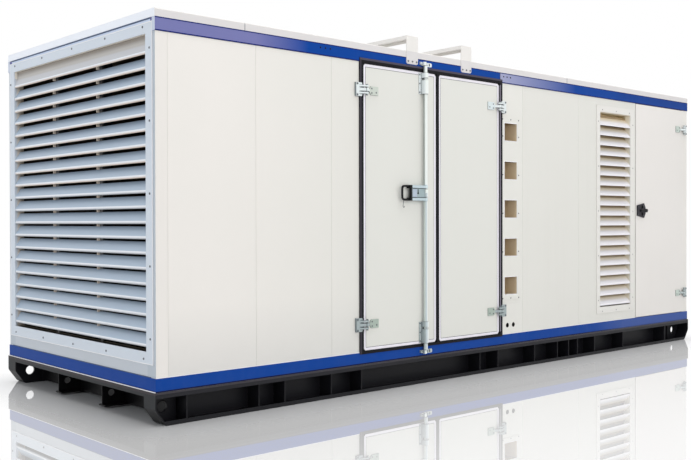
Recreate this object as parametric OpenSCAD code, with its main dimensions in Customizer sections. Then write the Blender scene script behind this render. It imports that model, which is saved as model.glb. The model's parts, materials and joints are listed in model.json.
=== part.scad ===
// Sound-proofed gas generator set in a walk-in enclosure on a steel skid.
// Origin at the middle of the footprint on the ground, +X along the length,
// -Y is the side with the double door, +Z up. All sizes in millimetres.

/* [Enclosure] */
// Length over the sills
body_l = 7078; // [6900:1:8600]
// Width over the sills
body_w = 2438; // [2200:2:3000]
// Height of the walls between sill and top band
wall_h = 2339; // [2200:1:2900]
// Thickness of the insulated wall panels
wall_t = 60; // [50:1:72]
// How far sills, bands and frames stand proud of the panels
proud = 6; // [4:1:8]
// Height of the sill
sill_h = 94; // [70:1:130]
// Height of the top band
band_h = 94; // [90:1:130]
// Thickness of the roof sections
roof_t = 56; // [40:1:90]
// Distance of the first roof seam from the left end
roof_seam_left = 741; // [400:1:1500]
// Distance of the second roof seam from the right end
roof_seam_right = 2392; // [1500:1:3000]
// Corner post, along the long side
post_x = 100; // [90:1:140]
// Corner post, along the end
post_y = 110; // [90:1:130]

/* [Skid] */
// Height of the skid
skid_h = 230; // [180:1:320]
// How far the skid stands proud of the sills
skid_proud = 8; // [4:1:16]
// Depth of an outer beam from lip to web
beam_d = 150; // [120:1:200]
// Plate thickness of the beams
beam_t = 8; // [6:1:12]
// Height of the lip along the top of a beam
lip_h = 40; // [30:1:60]
// Height of the lip along the foot of a beam
foot_lip_h = 30; // [20:1:50]
// Height at which the sled end starts to slope
sled_h = 112; // [80:1:150]
// Length of the sled end's slope
sled_run = 82; // [50:1:140]
// Radius at the bends of the sled end
sled_r = 40; // [25:1:50]
// Distance of an inner beam from the middle
inner_y = 365; // [250:1:450]
// Flange width of an inner beam
inner_flange = 100; // [60:1:140]
// Distance of an inner beam's end from the end of the skid
inner_in = 56; // [42:1:100]
// Height of an inner beam's foot above the ground
inner_z = 15; // [5:1:30]
// Diameter of the holes in the inner beams
inner_hole_d = 50; // [30:1:60]
// Spacing of the cross members
cross_pitch = 960; // [700:10:1100]
// Height of a cross member
cross_h = 100; // [60:1:140]
// Diameter of a lifting hole
lift_d = 76; // [50:1:90]
// Distance of a lifting hole from the end of the skid
lift_in = 130; // [110:1:160]
// Height of a lifting hole above the ground
lift_z = 108; // [90:1:130]
// Length of a lifting plate
lift_l = 240; // [200:1:320]
// Thickness of a lifting plate
lift_t = 20; // [12:1:30]

/* [Long side] */
// Width of the first wall panel
panel_a_w = 740; // [500:1:900]
// Width of the second wall panel
panel_b_w = 730; // [500:1:900]
// Width of the panel beside the left door's hinges
panel_c_w = 304; // [180:1:400]
// Width of the panel with the ports
port_panel_w = 328; // [310:1:420]
// Width of the panel with the louvre
louvre_panel_w = 1070; // [1020:1:1200]
// Width of the control door's opening
control_w = 1015; // [800:1:1100]
// Width of a panel's edge chamfer
seam = 3; // [1:0.5:5]

/* [Double door] */
// Clear width of the left doorway
left_w = 864; // [700:1:950]
// Clear width of the right doorway
right_w = 827; // [700:1:950]
// Face width of the door surround
surround_w = 40; // [34:1:50]
// Face width of the post between the doorways
mullion_w = 28; // [24:1:60]
// How far the doorways stay clear of sill and band
door_margin = 10; // [8:1:30]
// How far the surround laps over the top band
head_lap = 30; // [12:1:34]
// How far the surround laps over its neighbours
lap = 12; // [8:1:16]
// Gap between a leaf and its opening
door_gap = 5; // [4:0.5:7]
// Thickness of a leaf
leaf_t = 60; // [50:1:70]
// How far a leaf's face stands out from the panels
leaf_out = 4; // [2:1:8]
// Width of the folded rim round a leaf's face
rim_w = 22; // [18:1:40]

/* [Hinges] */
// Distance of a hinge pin from the edge of its opening
pin_in = 20; // [18:1:24]
// Distance of a hinge pin from the leaf's face
pin_out = 28; // [26:1:32]
// Diameter of a hinge pin
pin_d = 16; // [12:1:18]
// Radial clearance between pin and knuckle
pin_fit = 0.08; // [0.03:0.01:0.1]
// Outer radius of a knuckle
knuckle_r = 14; // [12:1:15]
// Length of a strap on the leaf
strap_l = 145; // [110:1:200]
// Height of a strap
strap_h = 70; // [50:1:90]
// Thickness of a strap
strap_t = 8; // [5:1:10]
// Height of a knuckle
knuckle_h = 22; // [16:1:30]
// Free height between a knuckle and a lug
knuckle_gap = 11; // [1:1:14]
// Thickness of a lug
lug_t = 12; // [8:1:16]
// Clearance between a knuckle and the rib beside it
rib_gap = 3; // [2:1:6]
// Height of a hinge's foot plate
foot_h = 110; // [90:1:130]
// Distance of a hinge from the top or bottom of its opening
hinge_in = 216; // [140:1:400]

/* [Lock rod] */
// Distance of the lock rod from the meeting edge
rod_in = 166; // [120:1:220]
// Diameter of the lock rod
rod_d = 34; // [25:1:38]
// Diameter of the lock rod's tips in their keepers
tip_d = 20; // [18:1:22]
// Distance of the lock rod's axis from the leaf's face
rod_out = 30; // [26:1:34]
// Width of a rod guide
guide_w = 105; // [80:1:120]
// Height of a rod guide
guide_h = 178; // [140:1:200]
// Height of a rod guide's upper eye
eye_h = 42; // [30:1:50]
// Free height between a rod guide's eye and its cover
eye_gap = 20; // [12:1:30]
// Reach of a cam from the rod's axis
cam_reach = 24; // [20:1:26]
// Height of the handle above the sill
handle_z = 1295; // [900:1:1500]
// Height of the lever
lever_h = 128; // [110:1:150]
// Height of the boss that carries the lever on the rod
boss_h = 62; // [50:1:76]
// Radius of the boss
boss_r = 23; // [21:1:26]
// Length of the lever up to its grip
lever_l = 186; // [150:1:200]
// Height of the lever's two rails
rail_h = 22; // [16:1:24]
// Distance of the lock case from the lever's free end
case_in = 30; // [20:1:40]
// Length of the grip
grip_l = 74; // [70:1:120]

/* [Ports] */
// Number of cable ports
ports = 5; // [3:1:5]
// Width of a port
port_w = 186; // [120:1:190]
// Height of a port
port_h = 162; // [120:1:200]
// Spacing of the ports
port_pitch = 359; // [300:1:360]
// Height of the lowest port above the sill
port_z = 372; // [340:1:420]
// Depth of the duct behind the ports
duct_d = 250; // [150:1:400]
// Diameter of a pipe hole
pipe_d = 44; // [30:1:50]
// Spacing of the pipe holes
pipe_pitch = 89; // [70:1:110]
// Height of the pipe holes above the sill
pipe_z = 83; // [60:1:140]
// Height of the plate with the pipe holes
pipe_plate_h = 290; // [200:1:300]

/* [Louvres] */
// Width of a side louvre's opening
side_louvre_w = 588; // [400:1:600]
// Distance of the side louvre's opening from the control door
side_louvre_in = 102; // [90:1:140]
// Height of a side louvre's opening above the sill
side_louvre_z = 154; // [120:1:200]
// Distance of a side louvre's opening from the band
side_louvre_top = 138; // [120:1:200]
// Distance of the end louvre's opening from the sides
end_louvre_in = 120; // [116:1:122]
// Height of the end louvre's opening above the sill
end_louvre_z = 168; // [150:1:240]
// Face width of a side louvre frame
side_flange = 62; // [50:1:70]
// Face width of the end louvre frame
end_flange = 85; // [70:1:95]
// Height of the end louvre frame under its opening
end_foot_flange = 80; // [60:1:100]
// Distance of the end louvre frame from the roof
end_top_gap = 27; // [10:1:40]
// Spacing of the louvre blades
blade_pitch = 105; // [95:1:120]
// Depth of a louvre blade
blade_d = 66; // [50:1:72]
// Height of a louvre blade
blade_h = 90; // [70:1:92]
// Height of a drip lip on the end louvre
lip_z = 21; // [12:1:28]
// Height of a drip lip on the side louvre
side_lip_z = 15; // [12:1:28]
// Radius of the bend over the drip lip
lip_r = 14; // [8:1:20]
// Sheet thickness of the louvres
sheet = 4; // [3:0.5:5]
// Depth of the plate over a louvre
hood_d = 150; // [100:1:200]
// Drop of that plate's flap
hood_drop = 64; // [30:1:90]

/* [Roof hoops] */
// Width of a hoop
hoop_w = 136; // [100:1:200]
// Height of a hoop above the roof
hoop_rise = 125; // [80:1:200]
// Sheet thickness of a hoop
hoop_t = 6; // [4:1:10]
// Depth of the fold along a hoop's edges
hoop_fold = 32; // [20:1:50]
// Distance of the first hoop from the lock rod
hoop_in = 136; // [125:1:400]
// Spacing of the hoops
hoop_pitch = 689; // [500:1:800]

/* [Hidden] */
$fn = 48;

cream = [0.91, 0.90, 0.87];
blue = [0.13, 0.25, 0.60];
skid_black = [0.09, 0.09, 0.10];
pale_steel = [0.73, 0.79, 0.85];
zinc = [0.74, 0.78, 0.77];
gasket = [0.16, 0.16, 0.18];

// Faces of the walls, seen from the middle.
wall_y = body_w / 2 - proud;
wall_x = body_l / 2 - proud;
inner_wall_y = wall_y - wall_t;
inner_wall_x = wall_x - wall_t;
skid_x = body_l / 2 + skid_proud;
skid_y = body_w / 2 + skid_proud;
// Levels.
z_sill = skid_h + sill_h;
z_band = z_sill + wall_h;
z_roof = z_band + band_h;
z_top = z_roof + roof_t;
floor_t = 6;
// Stations along the long side, from left to right.
x_a = -body_l / 2 + post_x;
x_b = x_a + panel_a_w;
x_c = x_b + panel_b_w;
x_left = x_c + panel_c_w + surround_w - lap;
x_mullion = x_left + left_w;
x_right = x_mullion + mullion_w;
x_port = x_right + right_w + surround_w - lap;
x_d = x_port + port_panel_w;
x_control_end = body_l / 2 - post_x;
x_control = x_control_end - control_w;
x_louvre = x_control - louvre_panel_w;
// Doorway of the double door.
door_z0 = z_sill + door_margin;
door_z1 = z_band - door_margin;
// Side louvre opening.
vent_x1 = x_control - side_louvre_in;
vent_x0 = vent_x1 - side_louvre_w;
vent_z0 = z_sill + side_louvre_z;
side_blade_z = vent_z0 + 16;
vent_z1 = z_band - side_louvre_top;
side_blades = floor((vent_z1 - side_blade_z) / blade_pitch);
// End louvre opening.
end_vent_y = body_w / 2 - end_louvre_in;
end_vent_z0 = z_sill + end_louvre_z;
end_vent_z1 = z_band - 3;
end_blade_z = end_vent_z0 + 33;
end_blades = floor((end_vent_z1 - end_blade_z) / blade_pitch);
sleeve_d = blade_d + 10;
// Ports.
port_x = x_port + 143;
port_z0 = z_sill + port_z;
port_top = port_z0 + (ports - 1) * port_pitch + port_h;
port_margin = 50;
// Hinge and lock positions.
pin_y = -(wall_y + leaf_out + pin_out);
rod_x = x_mullion - rod_in;
rod_y = -(wall_y + leaf_out + rod_out);
hinge_zs = [door_z0 + hinge_in, door_z1 - hinge_in];
leaf_z0 = door_z0 + door_gap;
leaf_z1 = door_z1 - door_gap;
keeper_h = 34;
keeper_out = 16;
boss_flat = rod_d / 2 + 1;
// Stations of the stiffeners on the outer beams, from the left end.
stiffeners = [245, 860, 1100, 1560, 1880, 3345, 3600, 4155, 4525, 4715, 4865, 5170, 5705, 6565];

// ---- shared shapes ----

// Points of a round of radius r at corner b of the path a, b, c.
function fillet(a, b, c, r, n = 6) =
    let(
        u = (a - b) / norm(a - b),
        v = (c - b) / norm(c - b),
        half = acos(u * v) / 2,
        reach = r / tan(half),
        centre = b + (u + v) / norm(u + v) * r / sin(half),
        e1 = b + u * reach - centre,
        e2 = b + v * reach - centre,
        sweep = 180 - 2 * half
    )
    [for (i = [0:n]) centre + (sin((n - i) / n * sweep) * e1 + sin(i / n * sweep) * e2) / sin(sweep)];

// Side outline of the skid, moved inwards by d.
function sled(d) =
    let(
        slope = atan(sled_h / sled_run),
        xe = skid_x - d,
        top = skid_h - d,
        bend = sled_h + d * tan(45 - slope / 2),
        foot = skid_x - sled_run - d * tan(slope / 2),
        r = max(sled_r - d, 8),
        right = concat(
            fillet([foot - 200, d], [foot, d], [xe, bend], r),
            fillet([foot, d], [xe, bend], [xe, top], r),
            [[xe, top]]
        )
    )
    concat(right, [for (i = [len(right) - 1:-1:0]) [-right[i][0], right[i][1]]]);

// Draws its children on the front and again on the rear side.
module both_sides() {
    children();
    mirror([0, 1, 0]) children();
}

// Extrudes an x-z shape on the front side from d0 to d1 outside the panels.
module on_front(d0, d1) {
    translate([0, -(wall_y + d0), 0])
        rotate([90, 0, 0])
        linear_extrude(d1 - d0) children();
}

// Extrudes a y-z shape on the left end from d0 to d1 outside the panels.
module on_left_end(d0, d1) {
    translate([-(wall_x + d0), 0, 0])
        rotate([90, 0, -90])
        linear_extrude(d1 - d0) children();
}

// Rectangle between two corners.
module rect(x0, x1, z0, z1) {
    translate([x0, z0]) square([x1 - x0, z1 - z0]);
}

// Insulated panel with chamfered upright edges.
module wall_panel(x0, x1, z0, z1) {
    translate([0, 0, z0])
        linear_extrude(z1 - z0)
        polygon([
            [x0, -inner_wall_y],
            [x1, -inner_wall_y],
            [x1, -wall_y + seam],
            [x1 - seam, -wall_y],
            [x0 + seam, -wall_y],
            [x0, -wall_y + seam]
        ]);
}

// ---- skid ----

module skid_beam() {
    color(skid_black) {
        translate([0, -skid_y + beam_d, 0])
            rotate([90, 0, 0])
            linear_extrude(beam_d)
            difference() {
                polygon(sled(0));
                polygon(sled(beam_t));
            }
        translate([0, -skid_y + beam_t, 0])
            rotate([90, 0, 0])
            linear_extrude(beam_t) {
                rect(-skid_x, skid_x, skid_h - lip_h, skid_h);
                intersection() {
                    polygon(sled(0));
                    rect(-skid_x, skid_x, 0, foot_lip_h);
                }
            }
        translate([0, -skid_y + beam_d, 0])
            rotate([90, 0, 0])
            linear_extrude(beam_t)
            rect(-skid_x + lift_l, skid_x - lift_l, beam_t / 2, skid_h - beam_t / 2);
        for (s = stiffeners)
            if (s > lift_l && s < 2 * skid_x - lift_l)
                translate([-skid_x + s, -skid_y + beam_t / 2, beam_t / 2])
                    cube([beam_t, beam_d - beam_t, skid_h - beam_t]);
    }
}

module inner_beams() {
    half = skid_x - inner_in;
    flange_t = beam_t + 2;
    color(skid_black)
        for (side = [-1, 1])
            translate([0, side * inner_y, 0])
            difference() {
                rotate([90, 0, 90])
                    translate([0, 0, -half])
                    linear_extrude(2 * half) {
                        rect(-inner_flange / 2, inner_flange / 2, inner_z, inner_z + flange_t);
                        rect(-inner_flange / 2, inner_flange / 2, skid_h - flange_t, skid_h);
                        rect(-beam_t / 2, beam_t / 2, inner_z + 1, skid_h - 1);
                    }
                for (end = [-1, 1])
                    translate([end * (skid_x - lift_in), beam_t, lift_z])
                        rotate([90, 0, 0])
                        cylinder(d = inner_hole_d, h = 2 * beam_t);
            }
}

// Channel across the skid between two webs.
module cross_channel(y0, y1) {
    z1 = skid_h - beam_t - 2;
    translate([0, y0, z1 - cross_h])
        rotate([-90, 0, 0])
        mirror([0, 1, 0])
        linear_extrude(y1 - y0)
        difference() {
            square([50, cross_h]);
            translate([6, 8]) square([50, cross_h - 16]);
        }
}

// Plate across the whole skid, cut out round the inner beams.
module end_plate() {
    half = skid_y - beam_d;
    flange_t = beam_t + 2;
    translate([-skid_x + stiffeners[0], 0, 0])
        rotate([90, 0, 90])
        linear_extrude(beam_t)
        difference() {
            rect(-half, half, inner_z, skid_h - flange_t);
            for (side = [-1, 1])
                translate([side * inner_y, 0]) {
                    rect(-inner_flange / 2, inner_flange / 2, 0, inner_z + flange_t);
                    rect(-beam_t / 2, beam_t / 2, 0, skid_h);
                }
        }
}

module cross_members() {
    web_gap = beam_t / 2;
    stations = floor((skid_x - lift_l) / cross_pitch);
    color(skid_black)
        for (i = [-stations:stations])
            translate([i * cross_pitch, 0, 0]) {
                cross_channel(-inner_y + web_gap, inner_y - web_gap);
                cross_channel(inner_y + web_gap, skid_y - beam_d);
                cross_channel(-skid_y + beam_d, -inner_y - web_gap);
            }
    color(skid_black)
        for (turn = [0, 180]) rotate([0, 0, turn]) end_plate();
}

module end_rails() {
    half = skid_y - beam_d;
    color(skid_black)
        for (turn = [0, 180])
            rotate([0, 0, turn])
            translate([-skid_x, half, 0])
            rotate([90, 0, 0])
            linear_extrude(2 * half) {
                rect(0, beam_t, skid_h - lip_h, skid_h);
                rect(0, lip_h, skid_h - beam_t, skid_h);
            }
}

module lifting_plates() {
    color(skid_black)
        for (turn = [0, 180])
            both_sides()
            rotate([0, 0, turn])
            translate([0, -skid_y + beam_d, 0])
            rotate([90, 0, 0])
            linear_extrude(lift_t)
            difference() {
                intersection() {
                    polygon(sled(beam_t));
                    rect(-skid_x, -skid_x + lift_l, 0, skid_h);
                }
                translate([-skid_x + lift_in, lift_z]) circle(d = lift_d);
            }
}

module floor_plate() {
    color(skid_black)
        translate([-inner_wall_x, -inner_wall_y, skid_h])
        cube([2 * inner_wall_x, 2 * inner_wall_y, floor_t]);
}

// ---- frame of the enclosure ----

module long_sills() {
    color(blue)
        both_sides()
        translate([-body_l / 2, -body_w / 2, skid_h])
        cube([body_l, wall_t + proud, sill_h]);
}

module end_sills() {
    color(blue)
        for (turn = [0, 180])
            rotate([0, 0, turn])
            translate([-body_l / 2, -inner_wall_y, skid_h])
            cube([wall_t + proud, 2 * inner_wall_y, sill_h]);
}

module corner_posts() {
    color(cream)
        for (turn = [0, 180])
            both_sides()
            rotate([0, 0, turn])
            translate([-wall_x, -wall_y, z_sill])
            cube([post_x - proud, post_y, wall_h]);
}

module long_bands() {
    cover = body_w / 2 - end_vent_y - end_flange;
    color(blue)
        both_sides()
        translate([0, 0, z_band])
        linear_extrude(band_h) {
            translate([-wall_x, -body_w / 2]) square([2 * wall_x, wall_t + proud]);
            translate([-body_l / 2, -body_w / 2]) square([body_l, cover]);
        }
}

module end_headers() {
    color(cream)
        for (turn = [0, 180])
            rotate([0, 0, turn])
            translate([-wall_x, -inner_wall_y, z_band])
            cube([wall_t, 2 * inner_wall_y, band_h]);
}

// ---- long sides ----

module side_panels_a() {
    color(cream) both_sides() wall_panel(x_a, x_b, z_sill, z_band);
}

module side_panels_b() {
    color(cream) both_sides() wall_panel(x_b, x_c, z_sill, z_band);
}

module side_panels_c() {
    color(cream) both_sides() wall_panel(x_c, x_c + panel_c_w, z_sill, z_band);
}

module side_panels_d() {
    color(cream) both_sides() wall_panel(x_d, x_louvre, z_sill, z_band);
}

module port_panel() {
    margin = port_margin / 2;
    color(cream)
        difference() {
            wall_panel(x_port, x_d, z_sill + pipe_plate_h, z_band);
            on_front(-wall_t - 1, 1)
                rect(port_x - port_w / 2, port_x + port_w / 2, port_z0 - margin, port_top + margin);
        }
}

module port_strip() {
    x0 = x_port + lap + 2;
    color(cream)
        on_front(0, proud - 1)
        difference() {
            rect(x0, 2 * port_x - x0, port_z0 - port_margin, port_top + port_margin);
            for (i = [0:ports - 1])
                translate([port_x - port_w / 2, port_z0 + i * port_pitch]) square([port_w, port_h]);
        }
}

module port_duct() {
    x0 = port_x - port_w / 2 - 20;
    z0 = port_z0 - port_margin;
    height = port_top - port_z0 + 2 * port_margin;
    color(cream)
        translate([x0, -inner_wall_y, z0])
        difference() {
            cube([port_w + 40, duct_d, height]);
            translate([sheet, -1, sheet])
                cube([port_w + 40 - 2 * sheet, duct_d + 1 - sheet, height - 2 * sheet]);
        }
}

module pipe_plate() {
    color(cream)
        difference() {
            wall_panel(x_port, x_d, z_sill, z_sill + pipe_plate_h);
            on_front(-wall_t - 1, 1)
                for (side = [-0.5, 0.5])
                    translate([port_x + side * pipe_pitch, z_sill + pipe_z]) circle(d = pipe_d);
        }
}

module rear_plain_panel() {
    color(cream) mirror([0, 1, 0]) wall_panel(x_port, x_d, z_sill, z_band);
}

module louvre_panels() {
    color(cream)
        both_sides()
        difference() {
            wall_panel(x_louvre, x_control, z_sill, z_band);
            on_front(-wall_t - 1, 1) rect(vent_x0, vent_x1, vent_z0, vent_z1);
        }
}

// ---- louvres ----

// Ring plate with a sleeve through the wall, drawn as x-z rings.
module vent_rings(x0, x1, z0, z1, flange) {
    difference() {
        rect(x0 - flange, x1 + flange, z0 - flange, z1 + flange);
        rect(x0 + sheet, x1 - sheet, z0 + sheet, z1 - sheet);
    }
}

module louvre_frames() {
    color(cream)
        both_sides() {
            on_front(0, proud - 1) vent_rings(vent_x0, vent_x1, vent_z0, vent_z1, side_flange);
            on_front(-sleeve_d, 1) vent_rings(vent_x0, vent_x1, vent_z0, vent_z1, 0);
            on_front(-hood_d, 1 - sleeve_d) rect(vent_x0, vent_x1, vent_z1 - sheet, vent_z1);
            on_front(-hood_d, sheet - hood_d) rect(vent_x0, vent_x1, vent_z1 - hood_drop, vent_z1);
        }
}

// Profile of a louvre blade: outwards to +x, with a drip lip and a round bend in front.
module blade_profile(lip) {
    top = [-blade_d + sheet, blade_h];
    low = [-blade_d, blade_h - sheet];
    bend = [0, lip];
    inner_bend = [-sheet, lip - sheet / 2];
    polygon(concat(
        [[0, 0]],
        fillet([0, 0], bend, top, lip_r, 4),
        [top, [-blade_d, blade_h], low],
        fillet(low, inner_bend, [-sheet, 0], lip_r - sheet, 4),
        [[-sheet, 0]]
    ));
}

// Row of blades of length l, with drip lips of height lip from z0 upwards.
module blade_row(l, z0, count, lip) {
    for (i = [0:count - 1])
        translate([-l / 2, 0, z0 + i * blade_pitch])
            rotate([90, 0, 90])
            mirror([1, 0, 0])
            linear_extrude(l) blade_profile(lip);
}

module side_louvre_blades() {
    color(pale_steel)
        both_sides()
        translate([(vent_x0 + vent_x1) / 2, -wall_y, 0])
        blade_row(side_louvre_w - 2 * sheet, side_blade_z, side_blades, side_lip_z);
}

module end_louvre_frame() {
    y = end_vent_y + end_flange;
    color(pale_steel) {
        on_left_end(0, proud - 1)
            difference() {
                rect(-y, y, end_vent_z0 - end_foot_flange, z_roof - end_top_gap);
                rect(-end_vent_y + sheet, end_vent_y - sheet, end_vent_z0 + sheet, end_vent_z1 - sheet);
            }
        on_left_end(-sleeve_d, 1)
            vent_rings(-end_vent_y, end_vent_y, end_vent_z0, end_vent_z1, 0);
        on_left_end(-hood_d, 1 - sleeve_d)
            rect(-end_vent_y, end_vent_y, end_vent_z1 - sheet, end_vent_z1);
        on_left_end(-hood_d, sheet - hood_d)
            rect(-end_vent_y, end_vent_y, end_vent_z1 - hood_drop, end_vent_z1);
    }
}

module end_louvre_blades() {
    color(pale_steel)
        translate([-wall_x, 0, 0])
        rotate([0, 0, -90])
        blade_row(2 * (end_vent_y - sheet), end_blade_z, end_blades, lip_z);
}

// Upright of width w from z0 to z1 behind the end louvre, in depth and height.
// Its nose reaches in between the blades and is notched to fit round each one.
module blade_comb(w, z0, z1) {
    nose = blade_d - 22;
    fit = 1;
    run = blade_d - sheet;
    outer_slope = (blade_h - lip_z) / run;
    inner_slope = (blade_h - sheet / 2 - lip_z) / run;
    upper = lip_z + (nose - 1) * outer_slope + fit;
    lower = lip_z - sheet / 2 + (nose - 1 - sheet) * inner_slope - fit;
    translate([0, w / 2, 0])
        rotate([90, 0, 0])
        linear_extrude(w)
        difference() {
            translate([nose, z0]) square([blade_d - nose + 60, z1 - z0]);
            for (i = [0:end_blades - 1])
                translate([0, end_blade_z + i * blade_pitch])
                    polygon([
                        [nose - 1, lower],
                        [nose - 1, i < end_blades - 1 ? upper : blade_h + 1],
                        [run - fit, blade_h + 1],
                        [blade_d, blade_h + 1],
                        [blade_d, blade_h - sheet - fit]
                    ]);
        }
}

module end_louvre_mullions() {
    z0 = end_vent_z0 + sheet;
    z1 = end_blade_z + (end_blades - 1) * blade_pitch + blade_h;
    color(pale_steel)
        for (side = [-1, 1])
            translate([-wall_x, side * end_vent_y / 3, 0])
            blade_comb(36, z0, z1);
}

module kick_panel() {
    y = wall_y - post_y;
    color(pale_steel)
        on_left_end(-wall_t, 0)
        rect(-y, y, z_sill, end_vent_z0);
}

// ---- double door ----

module surround() {
    x0 = x_left - surround_w;
    x1 = x_right + right_w + surround_w;
    color(gasket)
        difference() {
            union() {
                on_front(-wall_t, proud) rect(x0 + lap, x1 - lap, z_sill, z_band);
                on_front(0, proud) {
                    rect(x0, x0 + lap + 1, z_sill, z_band);
                    rect(x1 - lap - 1, x1, z_sill, z_band);
                }
                on_front(proud, 2 * proud) rect(x0, x1, z_sill - lap, z_band + head_lap);
            }
            on_front(-wall_t - 1, 2 * proud + 1) {
                rect(x_left, x_mullion, door_z0, door_z1);
                rect(x_right, x_right + right_w, door_z0, door_z1);
            }
        }
}

module door_surrounds() {
    both_sides() surround();
}

// Door leaf with a grooved rim and relieved corners on its face.
module leaf(x0, x1, z0, z1) {
    groove = 4;
    color(cream)
        difference() {
            on_front(leaf_out - leaf_t, leaf_out) rect(x0, x1, z0, z1);
            on_front(leaf_out - groove, leaf_out + 1)
                difference() {
                    rect(x0 + rim_w, x1 - rim_w, z0 + rim_w, z1 - rim_w);
                    rect(x0 + rim_w + groove, x1 - rim_w - groove, z0 + rim_w + groove, z1 - rim_w - groove);
                }
            for (x = [x0, x1])
                for (z = [z0, z1])
                    on_front(leaf_out - 12, leaf_out + 1)
                        translate([x, z]) circle(r = 18, $fn = 4);
        }
}

// Hinge strap on a leaf that lies towards +X, with the pin at the origin.
module strap() {
    neck = strap_l / 3;
    color(zinc) {
        translate([0, 0, -knuckle_h / 2])
            linear_extrude(knuckle_h)
            difference() {
                union() {
                    circle(r = knuckle_r);
                    polygon([
                        [-knuckle_r * 0.7, knuckle_r * 0.7],
                        [20, pin_out],
                        [neck + 1, pin_out],
                        [neck + 1, pin_out - strap_t],
                        [knuckle_r * 0.7, -knuckle_r * 0.7]
                    ]);
                }
                circle(d = pin_d + 2 * pin_fit);
            }
        translate([neck, pin_out, 0])
            rotate([90, 0, 0])
            linear_extrude(strap_t)
            polygon([
                [0, -knuckle_h / 2],
                [14, -strap_h / 2],
                [strap_l - neck, -strap_h / 2],
                [strap_l - neck, strap_h / 2],
                [14, strap_h / 2],
                [0, knuckle_h / 2]
            ]);
    }
}

// Foot plate, lugs, rib and pin of a hinge; the leaf lies towards +X. step is
// the distance from the pin to where the surround ends, and rise its height.
module hinge_bracket(step, rise) {
    back = pin_out + leaf_out;
    front = back - 2 * proud - 8;
    reach = 46;
    cut = 16;
    seat = knuckle_h / 2 + knuckle_gap;
    color(zinc) {
        intersection() {
            translate([0, 0, -foot_h / 2])
                linear_extrude(foot_h)
                polygon([
                    [-30, front],
                    [-30, back - rise],
                    [-step, back - rise],
                    [-step, back],
                    [-step - reach, back],
                    [-step - reach, front]
                ]);
            translate([0, back + 1, 0])
                rotate([90, 0, 0])
                linear_extrude(back - front + 2)
                polygon([
                    [-30, foot_h / 2 - 2 * cut],
                    [-30 - cut, foot_h / 2],
                    [-step - reach, foot_h / 2],
                    [-step - reach, -foot_h / 2],
                    [-30 - cut, -foot_h / 2],
                    [-30, 2 * cut - foot_h / 2]
                ]);
        }
        for (z = [-seat - lug_t, seat])
            translate([0, 0, z])
                linear_extrude(lug_t) {
                    circle(r = knuckle_r);
                    polygon([
                        [0, -knuckle_r],
                        [0, knuckle_r],
                        [-28, front + 1],
                        [-step - 20, front + 1],
                        [-20, -knuckle_r]
                    ]);
                }
        translate([0, 0, -knuckle_h / 2])
            linear_extrude(knuckle_h)
            difference() {
                polygon([
                    [0, -knuckle_r / 2],
                    [0, knuckle_r],
                    [-28, front + 1],
                    [-step - 20, front + 1],
                    [-24, -knuckle_r / 2]
                ]);
                circle(r = knuckle_r + rib_gap);
            }
        translate([0, 0, -seat - lug_t - 8])
            cylinder(d = pin_d, h = 2 * (seat + lug_t + 8));
    }
}

// Places a hinge piece at the pins of a leaf hung on its left edge.
module at_left_hinges(x) {
    for (z = hinge_zs) translate([x + pin_in, pin_y, z]) children();
}

// Places a hinge piece at the pins of a leaf hung on its right edge.
module at_right_hinges(x) {
    for (z = hinge_zs) translate([x - pin_in, pin_y, z]) mirror([1, 0, 0]) children();
}

module hinge_brackets() {
    both_sides() {
        at_left_hinges(x_left) hinge_bracket(pin_in + surround_w, 2 * proud);
        at_right_hinges(x_right + right_w) hinge_bracket(pin_in + surround_w, 2 * proud);
        at_right_hinges(x_control_end) hinge_bracket(pin_in + 12, 0);
    }
}

module left_door() {
    leaf(x_left + door_gap, x_mullion - door_gap, leaf_z0, leaf_z1);
}

module left_door_straps() {
    at_left_hinges(x_left) strap();
}

module right_door() {
    leaf(x_right + door_gap, x_right + right_w - door_gap, leaf_z0, leaf_z1);
}

module right_door_straps() {
    at_right_hinges(x_right + right_w) strap();
}

// ---- lock rod ----

// Guide of the lock rod, with its plate on the leaf.
module guide() {
    saddle = rod_d / 2 + 9;
    cover_h = guide_h - eye_h - eye_gap;
    color(zinc)
        difference() {
            union() {
                translate([-guide_w / 2, rod_out - 6, 0]) cube([guide_w, 6, guide_h]);
                for (part = [[0, cover_h], [guide_h - eye_h, eye_h]])
                    translate([0, 0, part[0]]) {
                        cylinder(r = saddle, h = part[1]);
                        translate([-saddle, 0, 0]) cube([2 * saddle, rod_out - 3, part[1]]);
                    }
            }
            translate([0, 0, -1]) cylinder(d = rod_d + 2 * pin_fit, h = guide_h + 2);
        }
}

module lock_guides() {
    for (z = [leaf_z0 + 8, leaf_z1 - 8 - guide_h]) translate([rod_x, rod_y, z]) guide();
}

// Lock rod with its boss, and a tip with a cam at each end.
module lock_rod() {
    cam_h = keeper_h - 4;
    tip = 70;
    shank = tip - keeper_h;
    color(zinc)
        translate([rod_x, rod_y, 0]) {
            translate([0, 0, z_sill - shank]) cylinder(d = rod_d, h = wall_h + 2 * shank);
            translate([0, 0, z_sill - tip]) cylinder(d = tip_d, h = wall_h + 2 * tip);
            for (z = [z_sill - tip, z_band + tip - cam_h])
                translate([-cam_reach, -tip_d / 2, z]) cube([cam_reach, tip_d, cam_h]);
            translate([0, 0, z_sill + handle_z - boss_h / 2])
                intersection() {
                    cylinder(r = boss_r, h = boss_h);
                    translate([-boss_flat, -boss_r, 0]) cube([2 * boss_r, 2 * boss_r, boss_h]);
                }
        }
}

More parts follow.
